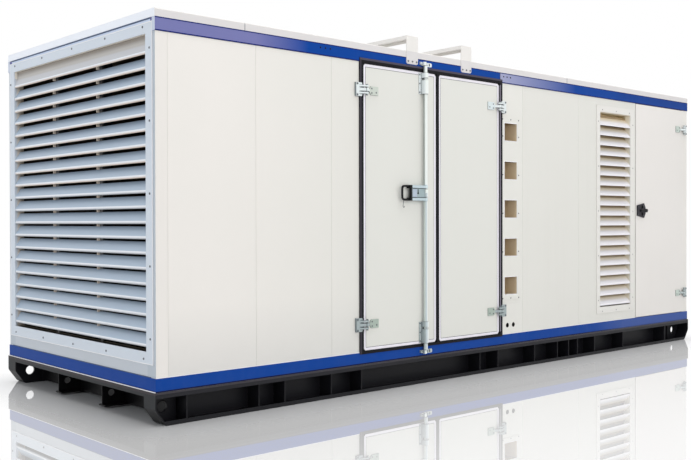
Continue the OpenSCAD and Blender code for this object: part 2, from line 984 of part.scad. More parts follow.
// Keepers for the cams, open to the outside.
module keepers() {
    color(zinc)
        for (z = [z_sill - 72, z_band + 72 - keeper_h])
            translate([rod_x, 0, z]) {
                translate([0, -body_w / 2, 0])
                    rotate([90, 0, 0])
                    linear_extrude(4)
                    polygon([
                        [-45, 10],
                        [-45, keeper_h],
                        [-14, keeper_h - 4],
                        [30, keeper_h - 4],
                        [45, keeper_h],
                        [97, keeper_h],
                        [105, keeper_h - 8],
                        [105, 8],
                        [97, 0],
                        [30, 0],
                        [-14, 4]
                    ]);
                for (x = [-45, 33])
                    translate([x, -body_w / 2 - 4 - keeper_out, 11])
                        cube([12, keeper_out + 1, keeper_h - 15]);
            }
}

module lock_keepers() {
    both_sides() keepers();
}

// Lever that swings the lock rod: two rails that clasp it, with the lock case
// and its cover plate between them.
module lock_handle() {
    end = -boss_flat - lever_l;
    case = end + case_in;
    face = 11;
    color(zinc)
        translate([rod_x, rod_y, z_sill + handle_z])
        difference() {
            union() {
                for (z = [-lever_h / 2, lever_h / 2 - rail_h])
                    translate([end, -boss_r, z]) cube([4 - end, 2 * boss_r, rail_h]);
                translate([case, -face, 1 - lever_h / 2])
                    cube([-boss_flat - case, 26, lever_h - 2]);
                translate([case + 4, -face - 3, -34]) cube([52, 4, 68]);
            }
            translate([0, 0, -lever_h / 2 - 1]) cylinder(d = rod_d + 0.6, h = lever_h + 2);
            translate([case + 72, 2, 12])
                rotate([90, 0, 0])
                linear_extrude(20) {
                    square([9, 40], center = true);
                    translate([0, -14]) circle(d = 18);
                }
        }
}

// D-shaped grip with a tongue that fills the lever between its rails.
module lock_grip() {
    bar = 18;
    w = grip_l;
    h = lever_h + 4;
    root = rail_h + 3;
    color(gasket)
        translate([rod_x - boss_flat - lever_l - w, rod_y + bar / 2, z_sill + handle_z - h / 2])
        rotate([90, 0, 0])
        linear_extrude(bar)
        difference() {
            polygon(concat(
                [
                    [w, h],
                    [w, h - root],
                    [w + case_in, h - root],
                    [w + case_in, root],
                    [w, root],
                    [w, 0]
                ],
                fillet([w, 0], [0, 0], [0, h], 40),
                fillet([0, 0], [0, h], [w, h], 40)
            ));
            polygon(concat(
                [[w - bar, h - bar], [w - bar, bar]],
                fillet([w, bar], [bar, bar], [bar, h], 24),
                fillet([bar, 0], [bar, h - bar], [w, h - bar], 24)
            ));
        }
}

// ---- control door ----

module control_door() {
    color(cream)
        on_front(leaf_out - leaf_t, leaf_out)
        rect(x_control + door_gap, x_control_end - door_gap, z_sill + door_gap, z_band - door_gap);
}

module control_door_straps() {
    at_right_hinges(x_control_end) strap();
}

// Dish of the turning latch, a five-sided plate on the leaf.
module control_dish() {
    color(gasket)
        translate([x_control + 85, 0, z_sill + 1171])
        difference() {
            on_front(leaf_out, leaf_out + 14)
                polygon([[-65, -56], [68, -80], [98, -28], [98, 28], [68, 80], [-65, 56]]);
            for (side = [-1, 1])
                on_front(leaf_out + 5, leaf_out + 15)
                    polygon([
                        [0, 20 * side],
                        [34, 20 * side],
                        [48, 30 * side],
                        [40, 58 * side],
                        [6, 50 * side]
                    ]);
        }
}

// Turning bar of the latch on its spindle.
module control_paddle() {
    color(gasket)
        translate([x_control + 85, 0, z_sill + 1171]) {
            on_front(leaf_out + 14.3, leaf_out + 18) circle(r = 15);
            on_front(leaf_out + 17, leaf_out + 28) {
                polygon([[-20, -9], [98, -7], [98, 7], [-20, 9]]);
                translate([104, 0]) circle(r = 19);
            }
        }
}

// ---- rear side ----

module rear_doors() {
    mirror([0, 1, 0]) {
        left_door();
        right_door();
        control_door();
    }
}

module rear_straps() {
    mirror([0, 1, 0]) {
        left_door_straps();
        right_door_straps();
        control_door_straps();
    }
}

module rear_lock_gear() {
    mirror([0, 1, 0]) {
        lock_guides();
        lock_rod();
        lock_handle();
        lock_grip();
    }
}

// ---- right end ----

module right_end_wall() {
    half = wall_y - post_y;
    groove = 2 * seam;
    color(cream)
        rotate([0, 0, 180])
        difference() {
            on_left_end(-wall_t, 0) rect(-half, half, z_sill, z_band);
            for (y = [-half / 3, half / 3])
                on_left_end(-seam, 1) rect(y - groove / 2, y + groove / 2, z_sill - 1, z_band + 1);
        }
}

// ---- roof ----

// Roof section between two stations, with eased upper edges.
module roof_section(x0, x1) {
    ease = 6;
    half = body_w / 2;
    color(cream)
        translate([x0, 0, 0])
        rotate([90, 0, 90])
        linear_extrude(x1 - x0)
        polygon([
            [-half, z_roof],
            [half, z_roof],
            [half, z_top - ease],
            [half - ease, z_top],
            [ease - half, z_top],
            [-half, z_top - ease]
        ]);
}

module roof_left() {
    roof_section(-body_l / 2, -body_l / 2 + roof_seam_left);
}

module roof_middle() {
    roof_section(-body_l / 2 + roof_seam_left, body_l / 2 - roof_seam_right);
}

module roof_right() {
    roof_section(body_l / 2 - roof_seam_right, body_l / 2);
}

// Hoop over the roof, a folded strip with its legs on the top bands.
module roof_hoops() {
    leg_z = z_band + head_lap + 9;
    foot_r = 18;
    half = body_w / 2 + hoop_t;
    w = hoop_w / 2;
    top = z_top + hoop_rise;
    color(cream)
        for (i = [0:1])
            translate([rod_x - hoop_in + i * hoop_pitch, 0, 0]) {
                for (y = [-half + hoop_t, half])
                    translate([0, y, 0])
                        rotate([90, 0, 0])
                        linear_extrude(hoop_t)
                        polygon(concat(
                            fillet([-w, top], [-w, leg_z], [w, leg_z], foot_r),
                            fillet([-w, leg_z], [w, leg_z], [w, top], foot_r),
                            [[w, top], [-w, top]]
                        ));
                translate([-w, -half, top - hoop_t])
                    cube([hoop_w, 2 * half, hoop_t]);
                for (x = [-w, w - hoop_t])
                    translate([x, -half, top - hoop_fold])
                        cube([hoop_t, 2 * half, hoop_fold]);
            }
}

skid_beam();  // skid_front_beam
mirror([0, 1, 0]) skid_beam();  // skid_rear_beam
inner_beams();
cross_members();
end_rails();
lifting_plates();
floor_plate();
long_sills();
end_sills();
corner_posts();
long_bands();
end_headers();
side_panels_a();
side_panels_b();
side_panels_c();
side_panels_d();
port_panel();
port_strip();
port_duct();
pipe_plate();
rear_plain_panel();
louvre_panels();
louvre_frames();
side_louvre_blades();
door_surrounds();
hinge_brackets();
lock_keepers();
left_door();
left_door_straps();
lock_guides();
lock_rod();
lock_handle();
lock_grip();
right_door();
right_door_straps();
control_door();
control_door_straps();
control_dish();
control_paddle();
rear_doors();
rear_straps();
rear_lock_gear();
end_louvre_frame();
end_louvre_blades();
end_louvre_mullions();
kick_panel();
right_end_wall();
roof_left();
roof_middle();
roof_right();
roof_hoops();
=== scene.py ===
"""Looks of a gas generator set in a sound-proofed, walk-in enclosure on a steel skid."""

import json
import logging
import math
from collections.abc import Iterable, Sequence
from dataclasses import dataclass, field
from enum import Enum
from typing import Any, ClassVar

import bmesh
import bpy
from mathutils import Matrix, Quaternion, Vector


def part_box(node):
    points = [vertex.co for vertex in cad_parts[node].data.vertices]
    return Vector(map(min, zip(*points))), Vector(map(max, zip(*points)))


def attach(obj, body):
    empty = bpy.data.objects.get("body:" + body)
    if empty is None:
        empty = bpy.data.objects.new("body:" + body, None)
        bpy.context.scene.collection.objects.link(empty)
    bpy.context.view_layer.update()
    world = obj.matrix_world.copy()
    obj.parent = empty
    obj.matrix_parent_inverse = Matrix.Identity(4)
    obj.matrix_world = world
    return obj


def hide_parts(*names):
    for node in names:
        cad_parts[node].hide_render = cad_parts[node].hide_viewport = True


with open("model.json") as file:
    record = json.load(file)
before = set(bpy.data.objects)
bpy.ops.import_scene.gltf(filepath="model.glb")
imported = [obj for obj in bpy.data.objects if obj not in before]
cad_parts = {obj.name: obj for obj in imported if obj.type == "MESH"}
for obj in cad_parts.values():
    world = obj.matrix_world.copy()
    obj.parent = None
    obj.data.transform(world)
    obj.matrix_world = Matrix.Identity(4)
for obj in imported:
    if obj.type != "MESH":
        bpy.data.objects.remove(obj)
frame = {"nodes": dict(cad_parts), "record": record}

log = logging.getLogger("generator_set")
Colour = tuple[float, float, float]
Spot = tuple[float, float, float]
Span = tuple[float, float]
Profile = Sequence[tuple[float, float]]
Bar = tuple[Vector, Vector]
Vert = bmesh.types.BMVert
Socket = bpy.types.NodeSocket
MM = 0.001
FAR = 9.0
ALL: Span = (-FAR, FAR)
WHITE = (1.0, 1.0, 1.0)


def chart(red: int, green: int, blue: int) -> Colour:
    """Turns a colour as a screen shows it into the share of light that it reflects.

    Args:
        red: Red from 0 to 255.
        green: Green from 0 to 255.
        blue: Blue from 0 to 255.

    Returns:
        The linear colour.
    """
    return tuple(
        v / 255 / 12.92 if v < 11 else ((v / 255 + 0.055) / 1.055) ** 2.4
        for v in (red, green, blue)
    )


# ---- nodes ----


class Desk:
    """Adds nodes to one tree and wires them together."""

    def __init__(self, tree: bpy.types.NodeTree) -> None:
        """Keeps the tree that the nodes go into.

        Args:
            tree: A material's tree or a node group.
        """
        self.tree = tree

    def add(
        self, kind: str, inputs: dict[str | int, Any] | None = None, **settings: Any
    ) -> bpy.types.Node:
        """Adds one node.

        Args:
            kind: The node's Blender type.
            inputs: Values or sockets by the name or number of the node's input.
            **settings: Properties of the node itself.

        Returns:
            The new node.
        """
        node = self.tree.nodes.new(kind)
        for name, value in settings.items():
            setattr(node, name, value)
        for key, value in (inputs or {}).items():
            if isinstance(value, Socket):
                self.tree.links.new(value, node.inputs[key])
            else:
                node.inputs[key].default_value = value
        return node

    def maths(self, step: str, *values: Any) -> Socket:
        """Returns the result of one step of arithmetic on numbers or sockets."""
        return self.add("ShaderNodeMath", dict(enumerate(values)), operation=step).outputs[0]

    def remap(
        self, value: Any, low: Any, high: Any, to_low: float = 0.0, to_high: float = 1.0
    ) -> Socket:
        """Stretches a range of values onto another, held at its ends.

        Args:
            value: The socket to read.
            low: The value that becomes to_low.
            high: The value that becomes to_high.
            to_low: The result at low.
            to_high: The result at high.

        Returns:
            The stretched value.
        """
        return self.add(
            "ShaderNodeMapRange",
            {
                "Value": value, "From Min": low, "From Max": high, "To Min": to_low,
                "To Max": to_high
            },
        ).outputs[0]

    def noise(self, place: Any, scale: Any, detail: float = 2.0, rough: float = 0.5) -> Socket:
        """Returns a cloudy value between 0 and 1 at a place."""
        return self.add(
            "ShaderNodeTexNoise",
            {"Vector": place, "Scale": scale, "Detail": detail, "Roughness": rough}
        ).outputs["Fac"]

    def place(self, stretch: Spot | None = None) -> Socket:
        """Returns the surface's place on its piece, in metres, stretched along each axis."""
        here = self.add("ShaderNodeTexCoord").outputs["Object"]
        if not stretch:
            return here
        return self.add("ShaderNodeMapping", {"Vector": here, "Scale": stretch}).outputs[0]

    def parts(self, vector: Socket) -> bpy.types.NodeOutputs:
        """Returns the three parts of a vector."""
        return self.add("ShaderNodeSeparateXYZ", {0: vector}).outputs

    def join(self, *parts: Any) -> Socket:
        """Returns the vector of three parts."""
        return self.add("ShaderNodeCombineXYZ", dict(enumerate(parts))).outputs[0]

    def vectors(self, step: str, *values: Any, result: str = "Vector") -> Socket:
        """Returns the result of one step of arithmetic on vectors."""
        return self.add(
            "ShaderNodeVectorMath", dict(enumerate(values)), operation=step
        ).outputs[result]

    def mix(self, share: Any, first: bpy.types.Node, second: bpy.types.Node) -> bpy.types.Node:
        """Adds a node that mixes the shaders of two nodes."""
        inputs = {0: share, 1: first.outputs[0], 2: second.outputs[0]}
        return self.add("ShaderNodeMixShader", inputs)

    def blend(self, share: Any, first: Any, second: Any) -> Socket:
        """Returns the colour between two others at a share from 0 to 1."""
        mix = self.tree.nodes.new("ShaderNodeMix")
        mix.data_type = "RGBA"
        for socket, value in (
            (mix.inputs[0], share), (mix.inputs[6], first), (mix.inputs[7], second)
        ):
            if isinstance(value, Socket):
                self.tree.links.new(value, socket)
            elif isinstance(value, (int, float)):
                socket.default_value = value
            else:
                socket.default_value = (*value[:3], 1.0)
        return mix.outputs[2]


class Effect:
    """A shader node group that more than one finish places with its own values."""

    title: ClassVar[str] = ""
    inlets: ClassVar[dict[str, float | Spot]] = {}
    outlets: ClassVar[dict[str, str]] = {}

    @classmethod
    def tree(cls) -> bpy.types.NodeTree:
        """Returns the group's tree, made on first use."""
        known = bpy.data.node_groups.get(cls.title)
        if known:
            return known
        tree = bpy.data.node_groups.new(cls.title, "ShaderNodeTree")
        for name, value in cls.inlets.items():
            kind = "NodeSocketVector" if isinstance(value, tuple) else "NodeSocketFloat"
            tree.interface.new_socket(name, in_out="INPUT", socket_type=kind).default_value = value
        for name, kind in cls.outlets.items():
            tree.interface.new_socket(name, in_out="OUTPUT", socket_type=kind)
        desk = Desk(tree)
        given = desk.add("NodeGroupInput").outputs
        made = desk.add("NodeGroupOutput").inputs
        for name, socket in cls.wire(desk, given).items():
            tree.links.new(socket, made[name])
        return tree

    @classmethod
    def wire(cls, desk: Desk, given: Any) -> dict[str, Socket]:
        """Wires the group's inside and returns its results by name."""
        raise NotImplementedError

    @classmethod
    def put(cls, desk: Desk, **values: float | Spot) -> bpy.types.NodeOutputs:
        """Places the group in a material.

        Args:
            desk: The material's desk.
            **values: Values for the group's inputs, by their names in lower case.

        Returns:
            The outputs of the placed group.
        """
        node = desk.add("ShaderNodeGroup", node_tree=cls.tree())
        for name, value in values.items():
            node.inputs[name.replace("_", " ").capitalize()].default_value = value
        return node.outputs


class EdgeWear(Effect):
    """Rubbed paint along the outer edges, broken up by a noise."""

    title = "edge_wear"
    inlets = {"Radius": 0.002, "Amount": 0.5, "Patch": 30.0}
    outlets = {"Mask": "NodeSocketFloat"}

    @classmethod
    def wire(cls, desk: Desk, given: Any) -> dict[str, Socket]:
        """Compares a rounded normal with the true one and breaks the result up."""
        round_normal = desk.add(
            "ShaderNodeBevel", {"Radius": given["Radius"]}, samples=4
        ).outputs[0]
        flat_normal = desk.add("ShaderNodeNewGeometry").outputs["Normal"]
        turn = desk.vectors("DOT_PRODUCT", round_normal, flat_normal, result="Value")
        edge = desk.remap(desk.maths("SUBTRACT", 1.0, turn), 0.02, 0.2)
        patch = desk.remap(desk.noise(desk.place(), given["Patch"], 4.0, 0.6), 0.42, 0.62)
        return {
            "Mask": desk.maths("MULTIPLY", desk.maths("MULTIPLY", edge, patch), given["Amount"])
        }


class SoftEdge(Effect):
    """Normals rounded over along the edges, as on folded sheet and sprayed paint."""

    title = "soft_edge"
    inlets = {"Radius": 0.002}
    outlets = {"Normal": "NodeSocketVector"}

    @classmethod
    def wire(cls, desk: Desk, given: Any) -> dict[str, Socket]:
        """Rounds the normal over the given radius."""
        return {
            "Normal": desk.add("ShaderNodeBevel", {"Radius": given["Radius"]}, samples=4).outputs[0]
        }


class PaintSkin(Effect):
    """Spray texture and the slow waves of sheet metal."""

    title = "paint_skin"
    inlets = {"Grain": 900.0, "Wave": 2.0, "Depth": 0.5}
    outlets = {"Height": "NodeSocketFloat", "Tone": "NodeSocketFloat"}

    @classmethod
    def wire(cls, desk: Desk, given: Any) -> dict[str, Socket]:
        """Adds a fine noise to a broad one for the height and gives a broad one for the tone."""
        here = desk.place()
        fine = desk.noise(here, given["Grain"], 2.0, 0.6)
        broad = desk.noise(here, given["Wave"], 1.0, 0.4)
        height = desk.maths("MULTIPLY_ADD", fine, given["Depth"], broad)
        tone = desk.noise(here, desk.maths("MULTIPLY", given["Wave"], 0.6), 4.0, 0.55)
        return {"Height": height, "Tone": tone}


class FootDust(Effect):
    """Dust and splashed dirt that thins out with height and lies on ledges."""

    title = "foot_dust"
    inlets = {"Foot": 0.0, "Reach": 0.6, "Amount": 0.5}
    outlets = {"Mask": "NodeSocketFloat"}

    @classmethod
    def wire(cls, desk: Desk, given: Any) -> dict[str, Socket]:
        """Mixes the height above the foot with a patchy noise and the way a face looks."""
        here = desk.place()
        top = desk.maths("ADD", given["Foot"], given["Reach"])
        low = desk.remap(desk.parts(here)[2], top, given["Foot"])
        patch = desk.remap(desk.noise(here, 7.0, 6.0, 0.65), 0.3, 0.75)
        normal = desk.add("ShaderNodeNewGeometry").outputs["Normal"]
        upward = desk.remap(desk.parts(normal)[2], 0.5, 0.95, 0.0, 0.7)
        both = desk.maths("MAXIMUM", desk.maths("POWER", low, 2.0), upward)
        return {
            "Mask": desk.maths("MULTIPLY", desk.maths("MULTIPLY", both, patch), given["Amount"])
        }


class RainRuns(Effect):
    """Faint upright runs that water leaves on a painted wall."""

    title = "rain_runs"
    inlets = {"Spread": 9.0, "Amount": 0.3}
    outlets = {"Mask": "NodeSocketFloat"}

    @classmethod
    def wire(cls, desk: Desk, given: Any) -> dict[str, Socket]:
        """Stretches a noise upright and keeps its peaks."""
        run = desk.noise(desk.place((1.0, 1.0, 0.04)), given["Spread"], 5.0, 0.7)
        broad = desk.noise(desk.place((1.0, 1.0, 0.5)), 1.1, 2.0, 0.5)
        mask = desk.maths("MULTIPLY", desk.remap(run, 0.5, 0.8), desk.remap(broad, 0.4, 0.65))
        return {"Mask": desk.maths("MULTIPLY", mask, given["Amount"])}


class Spangle(Effect):
    """The crystal patches of a zinc coat."""

    title = "spangle"
    inlets = {"Size": 90.0}
    outlets = {"Tone": "NodeSocketFloat", "Height": "NodeSocketFloat"}

    @classmethod
    def wire(cls, desk: Desk, given: Any) -> dict[str, Socket]:
        """Reads the patches from a cell pattern and their height from a noise."""
        here = desk.place()
        cell = desk.add(
            "ShaderNodeTexVoronoi", {"Vector": here, "Scale": given["Size"]}
        ).outputs["Color"]
        height = desk.noise(here, desk.maths("MULTIPLY", given["Size"], 4.0), 3.0)
        return {"Tone": desk.parts(cell)[0], "Height": height}


class BoxZone(Effect):
    """Where a place lies inside a box; both long sides count as one."""

    title = "box_zone"
    inlets = {"Low": (-1.0, -1.0, -1.0), "High": (1.0, 1.0, 1.0), "Soft": 0.0002}
    outlets = {"Mask": "NodeSocketFloat"}

    @classmethod
    def wire(cls, desk: Desk, given: Any) -> dict[str, Socket]:
        """Measures how deep a place lies inside the nearest side of the box."""
        here = desk.parts(desk.place())
        folded = desk.join(here[0], desk.maths("ABSOLUTE", here[1]), here[2])
        above = desk.vectors("SUBTRACT", folded, given["Low"])
        below = desk.vectors("SUBTRACT", given["High"], folded)
        depth = desk.parts(desk.vectors("MINIMUM", above, below))
        least = desk.maths("MINIMUM", desk.maths("MINIMUM", depth[0], depth[1]), depth[2])
        share = desk.add(
            "ShaderNodeMath", {0: least, 1: given["Soft"]}, operation="DIVIDE", use_clamp=True
        )
        return {"Mask": share.outputs[0]}


class FacePick(Effect):
    """Faces that look one way; +Y is outwards on both long sides."""

    title = "face_pick"
    inlets = {"Way": (0.0, 0.0, 1.0), "Least": 0.7, "Most": 0.9}
    outlets = {"Mask": "NodeSocketFloat"}

    @classmethod
    def wire(cls, desk: Desk, given: Any) -> dict[str, Socket]:
        """Compares the face's normal with the direction."""
        places = desk.add("ShaderNodeTexCoord").outputs
        normal = desk.parts(places["Normal"])
        side = desk.maths("SIGN", desk.parts(places["Object"])[1])
        folded = desk.join(normal[0], desk.maths("MULTIPLY", normal[1], side), normal[2])
        way = desk.vectors("NORMALIZE", given["Way"])
        turn = desk.vectors("DOT_PRODUCT", folded, way, result="Value")
        return {"Mask": desk.remap(turn, given["Least"], given["Most"])}


class Crevice(Effect):
    """Places that nearby surfaces close in on."""

    title = "crevice"
    inlets = {"Reach": 0.03, "Open": 0.95, "Shut": 0.35}
    outlets = {"Mask": "NodeSocketFloat"}

    @classmethod
    def wire(cls, desk: Desk, given: Any) -> dict[str, Socket]:
        """Reads how much of the open air a place sees."""
        air = desk.add(
            "ShaderNodeAmbientOcclusion", {"Distance": given["Reach"]}, samples=6
        ).outputs["AO"]
        return {"Mask": desk.remap(air, given["Open"], given["Shut"])}


# ---- finishes ----


@dataclass(frozen=True)
class Tint:
    """A part of a piece with a colour laid over it: its own colour, and in many finishes painted
    light and shade.

    Attributes:
        colour: Its colour.
        x: Where it lies along the enclosure.
        y: Where it lies outwards from the middle, alike on both long sides.
        z: Where it lies above the ground.
        soft: Distance over which it comes in from the sides of that box.
        amount: How strongly it covers what is under it.
        way: Direction that its faces look, or None for any.
        square: How squarely they have to look that way.
        nook: Reach in metres if it shows only in nooks, or 0.
    """

    colour: Colour
    x: Span = ALL
    y: Span = ALL
    z: Span = ALL
    soft: float = 0.0002
    amount: float = 1.0
    way: Spot | None = None
    square: float = 0.7
    nook: float = 0.0

    def lay(self, desk: Desk, under: Any) -> Socket:
        """Lays the tint over a colour.

        Args:
            desk: The material's desk.
            under: The colour under it.

        Returns:
            The colour with the tint.
        """
        low, high = zip(self.x, self.y, self.z)
        share = BoxZone.put(desk, low=low, high=high, soft=self.soft)["Mask"]
        if self.way:
            most = min(self.square + 0.2, 1.0)
            facing = FacePick.put(desk, way=self.way, least=self.square, most=most)["Mask"]
            share = desk.maths("MULTIPLY", share, facing)
        if self.nook:
            share = desk.maths("MULTIPLY", share, Crevice.put(desk, reach=self.nook)["Mask"])
        if self.amount < 1.0:
            share = desk.maths("MULTIPLY", share, self.amount)
        return desk.blend(share, under, self.colour)


class Finish:
    """A material that is made once and shared by all its pieces."""

    name: str
    tints: tuple[Tint, ...] = ()

    def shade(self, desk: Desk, skin: bpy.types.Node) -> None:
        """Wires the material's colour, roughness and relief into its Principled shader."""
        raise NotImplementedError

    def tinted(self, desk: Desk, colour: Any) -> Socket:
        """Returns a colour with all the finish's tints laid over it."""
        for tint in self.tints:
            colour = tint.lay(desk, colour)
        return colour

    def emboss(
        self, desk: Desk, skin: bpy.types.Node, height: Socket, strength: float, depth: float,
        edge: float = 0.0
    ) -> None:
        """Gives the surface its relief.

        Args:
            desk: The material's desk.
            skin: Its Principled shader.
            height: Height of the relief from 0 to 1.
            strength: How strongly it shows.
            depth: Its depth in metres.
            edge: Radius of the rounded edges in metres, or 0 for sharp ones.
        """
        inputs = {"Height": height, "Strength": strength, "Distance": depth}
        if edge:
            inputs["Normal"] = SoftEdge.put(desk, radius=edge)["Normal"]
        bump = desk.add("ShaderNodeBump", inputs)
        desk.tree.links.new(bump.outputs[0], skin.inputs["Normal"])

    def material(self) -> bpy.types.Material:
        """Returns the material, made on first use."""
        known = bpy.data.materials.get(self.name)
        if known:
            return known
        made = bpy.data.materials.new(self.name)
        made.use_nodes = True
        desk = Desk(made.node_tree)
        skin = made.node_tree.nodes["Principled BSDF"]
        self.shade(desk, skin)
        return made


@dataclass(frozen=True)
class Paint(Finish):
    """Sprayed paint on sheet or section steel.

    Attributes:
        name: The material's name.
        colour: Colour of clean paint.
        shadow: Colour of the broad darker clouds.
        rough: Roughness of clean paint.
        cloud: How strongly the clouds show.
        dust_colour: Colour of dust.
        dust: How much dust lies on it.
        foot: Height where the dust starts.
        reach: How high the dust reaches.
        runs: How strongly rain runs show.
        wear: How much paint is rubbed off along edges.
        bare: Colour under rubbed paint.
        edge: Radius of the rounded edges in metres.
        relief: Depth of the paint's texture in metres.
        coat: Weight of the clear coat.
        gloss: Strength of its plain reflections.
        tints: Places with a colour laid over them: own colours, and painted light and shade.
    """

    name: str
    colour: Colour
    shadow: Colour
    rough: float = 0.42
    cloud: float = 0.5
    dust_colour: Colour = (0.42, 0.38, 0.32)
    dust: float = 0.12
    foot: float = 0.23
    reach: float = 0.8
    runs: float = 0.1
    wear: float = 0.0
    bare: Colour = (0.3, 0.3, 0.3)
    edge: float = 0.003
    relief: float = 0.0004
    coat: float = 0.15
    gloss: float = 0.5
    tints: tuple[Tint, ...] = ()

    def shade(self, desk: Desk, skin: bpy.types.Node) -> None:
        """Layers clouds, rain runs, dust and worn edges over the paint."""
        paint = PaintSkin.put(desk, grain=700.0, wave=1.6, depth=0.25)
        tone = desk.maths("MULTIPLY", desk.remap(paint["Tone"], 0.3, 0.7), self.cloud)
        colour = self.tinted(desk, desk.blend(tone, self.colour, self.shadow))
        runs = RainRuns.put(desk, spread=9.0, amount=self.runs)["Mask"]
        colour = desk.blend(runs, colour, self.dust_colour)
        dust = FootDust.put(desk, foot=self.foot, reach=self.reach, amount=self.dust)["Mask"]
        colour = desk.blend(dust, colour, self.dust_colour)
        dry = min(self.rough + 0.35, 0.95)
        rough = desk.remap(desk.maths("ADD", dust, runs), 0.0, 0.5, self.rough, dry)
        if self.wear:
            worn = EdgeWear.put(desk, radius=self.edge, amount=self.wear, patch=26.0)["Mask"]
            colour = desk.blend(worn, colour, self.bare)
        links = desk.tree.links
        links.new(colour, skin.inputs["Base Color"])
        links.new(rough, skin.inputs["Roughness"])
        self.emboss(desk, skin, paint["Height"], 0.35, self.relief, self.edge)
        skin.inputs["Specular IOR Level"].default_value = self.gloss
        skin.inputs["Coat Weight"].default_value = self.coat
        skin.inputs["Coat Roughness"].default_value = 0.2


@dataclass(frozen=True)
class Zinc(Finish):
    """Zinc-coated steel, bright or dull.

    Attributes:
        name: The material's name.
        light: Colour of the bright patches.
        dark: Colour of the dull patches.
        rough: Roughness of the bright patches.
        metal: How metallic it is.
        size: Patches to the metre.
        tints: Places with a colour laid over them: own colours, and painted light and shade.
    """

    name: str
    light: Colour
    dark: Colour
    rough: float = 0.32
    metal: float = 0.75
    size: float = 110.0
    tints: tuple[Tint, ...] = ()

    def shade(self, desk: Desk, skin: bpy.types.Node) -> None:
        """Tints the patches and dulls the darker ones."""
        spangle = Spangle.put(desk, size=self.size)
        cloud = desk.noise(desk.place(), 22.0, 5.0, 0.6)
        broad = desk.maths("MULTIPLY", desk.remap(cloud, 0.35, 0.7), 0.55)
        tone = desk.maths("MULTIPLY_ADD", spangle["Tone"], 0.45, broad)
        worn = EdgeWear.put(desk, radius=0.0015, amount=0.5, patch=60.0)["Mask"]
        links = desk.tree.links
        colour = desk.blend(worn, desk.blend(tone, self.light, self.dark), self.light)
        links.new(self.tinted(desk, colour), skin.inputs["Base Color"])
        rough = desk.remap(tone, 0.0, 1.0, self.rough, self.rough + 0.2)
        links.new(rough, skin.inputs["Roughness"])
        self.emboss(desk, skin, spangle["Height"], 0.3, 0.0004, 0.0015)
        skin.inputs["Metallic"].default_value = self.metal


@dataclass(frozen=True)
class Rubber(Finish):
    """Black rubber or moulded plastic with a dry, slightly greyed surface.

    Attributes:
        name: The material's name.
        colour: Colour of a clean place.
        grey: Colour of a greyed place.
        rough: Roughness of a clean place.
        grain: Grains to the metre.
        gloss: Strength of its plain reflections.
        tints: Places with a colour laid over them: own colours, and painted light and shade.
    """

    name: str
    colour: Colour
    grey: Colour
    rough: float = 0.55
    grain: float = 1400.0
    gloss: float = 0.25
    tints: tuple[Tint, ...] = ()

    def shade(self, desk: Desk, skin: bpy.types.Node) -> None:
        """Greys the surface in clouds and along its edges, over a fine grain."""
        here = desk.place()
        cloud = desk.remap(desk.noise(here, 16.0, 5.0, 0.6), 0.4, 0.75, 0.0, 0.6)
        worn = EdgeWear.put(desk, radius=0.002, amount=0.6, patch=40.0)["Mask"]
        share = desk.maths("MAXIMUM", cloud, worn)
        grain = desk.noise(here, self.grain, 2.0, 0.6)
        links = desk.tree.links
        colour = self.tinted(desk, desk.blend(share, self.colour, self.grey))
        links.new(colour, skin.inputs["Base Color"])
        skin.inputs["Specular IOR Level"].default_value = self.gloss
        rough = desk.remap(cloud, 0.0, 0.6, self.rough, self.rough + 0.2)
        links.new(rough, skin.inputs["Roughness"])
        self.emboss(desk, skin, grain, 0.3, 0.0003, 0.0015)


@dataclass(frozen=True)
class FibreLining(Finish):
    """Brown mineral-fibre lining seen through the cable ports.

    Attributes:
        name: The material's name.
        light: Colour of the fibre where light reaches it.
        dark: Colour of its hollows.
    """

    name: str
    light: Colour
    dark: Colour

    def shade(self, desk: Desk, skin: bpy.types.Node) -> None:
        """Mats short fibres over soft lumps."""
        lump = desk.noise(desk.place(), 38.0, 6.0, 0.7)
        fibre = desk.noise(desk.place((1.0, 1.0, 6.0)), 240.0, 4.0, 0.7)
        both = desk.maths("MULTIPLY_ADD", fibre, 0.5, desk.maths("MULTIPLY", lump, 0.5))
        colour = desk.blend(desk.remap(both, 0.35, 0.65), self.dark, self.light)
        desk.tree.links.new(colour, skin.inputs["Base Color"])
        skin.inputs["Roughness"].default_value = 0.95
        self.emboss(desk, skin, both, 0.8, 0.003)


UNDER: Spot = (0.0, 0.0, -1.0)
OVER: Spot = (0.0, 0.0, 1.0)
OUTWARDS: Spot = (0.0, 1.0, 0.0)
PLUS: Span = (0.0, FAR)
END_FACE: Span = (-FAR, -3.5325)
SKID_END: Span = (-FAR, -3.5465)
SKID_FLANGE: Span = (1.2262, FAR)
BAND_ROW: Span = (2.6, 3.0)
BAND_SIDE: Span = (1.21, FAR)
SURROUND_FACE: Span = (1.2195, FAR)
STRAP_FACE: Span = (1.2165, 1.2255)
LEFT_STRAP: Span = (-1.571, -1.47)
RIGHT_STRAP: Span = (-0.09, 0.012)
CONTROL_STRAP: Span = (3.27, 3.373)
LEVER: Span = (-1.15, -0.93)
LOCK_FACE: Span = (1.23, FAR)

# Painted shade: faces inside the enclosure are darkened to the dark brown of its shaded inside.
INSIDE_SHADE = Tint(chart(60, 49, 38), x=(-3.474, 3.474), y=(-FAR, 1.1545), z=(0.2, 2.7575))
LEAF_EDGE = Tint(chart(22, 22, 26), y=(1.158, 1.2092), z=PLUS)
LEAF_GROOVE = Tint(chart(118, 116, 122), y=(1.2094, 1.2162), z=PLUS)
SHADED = Tint(chart(222, 221, 215), x=(-3.1, FAR), soft=1.6)


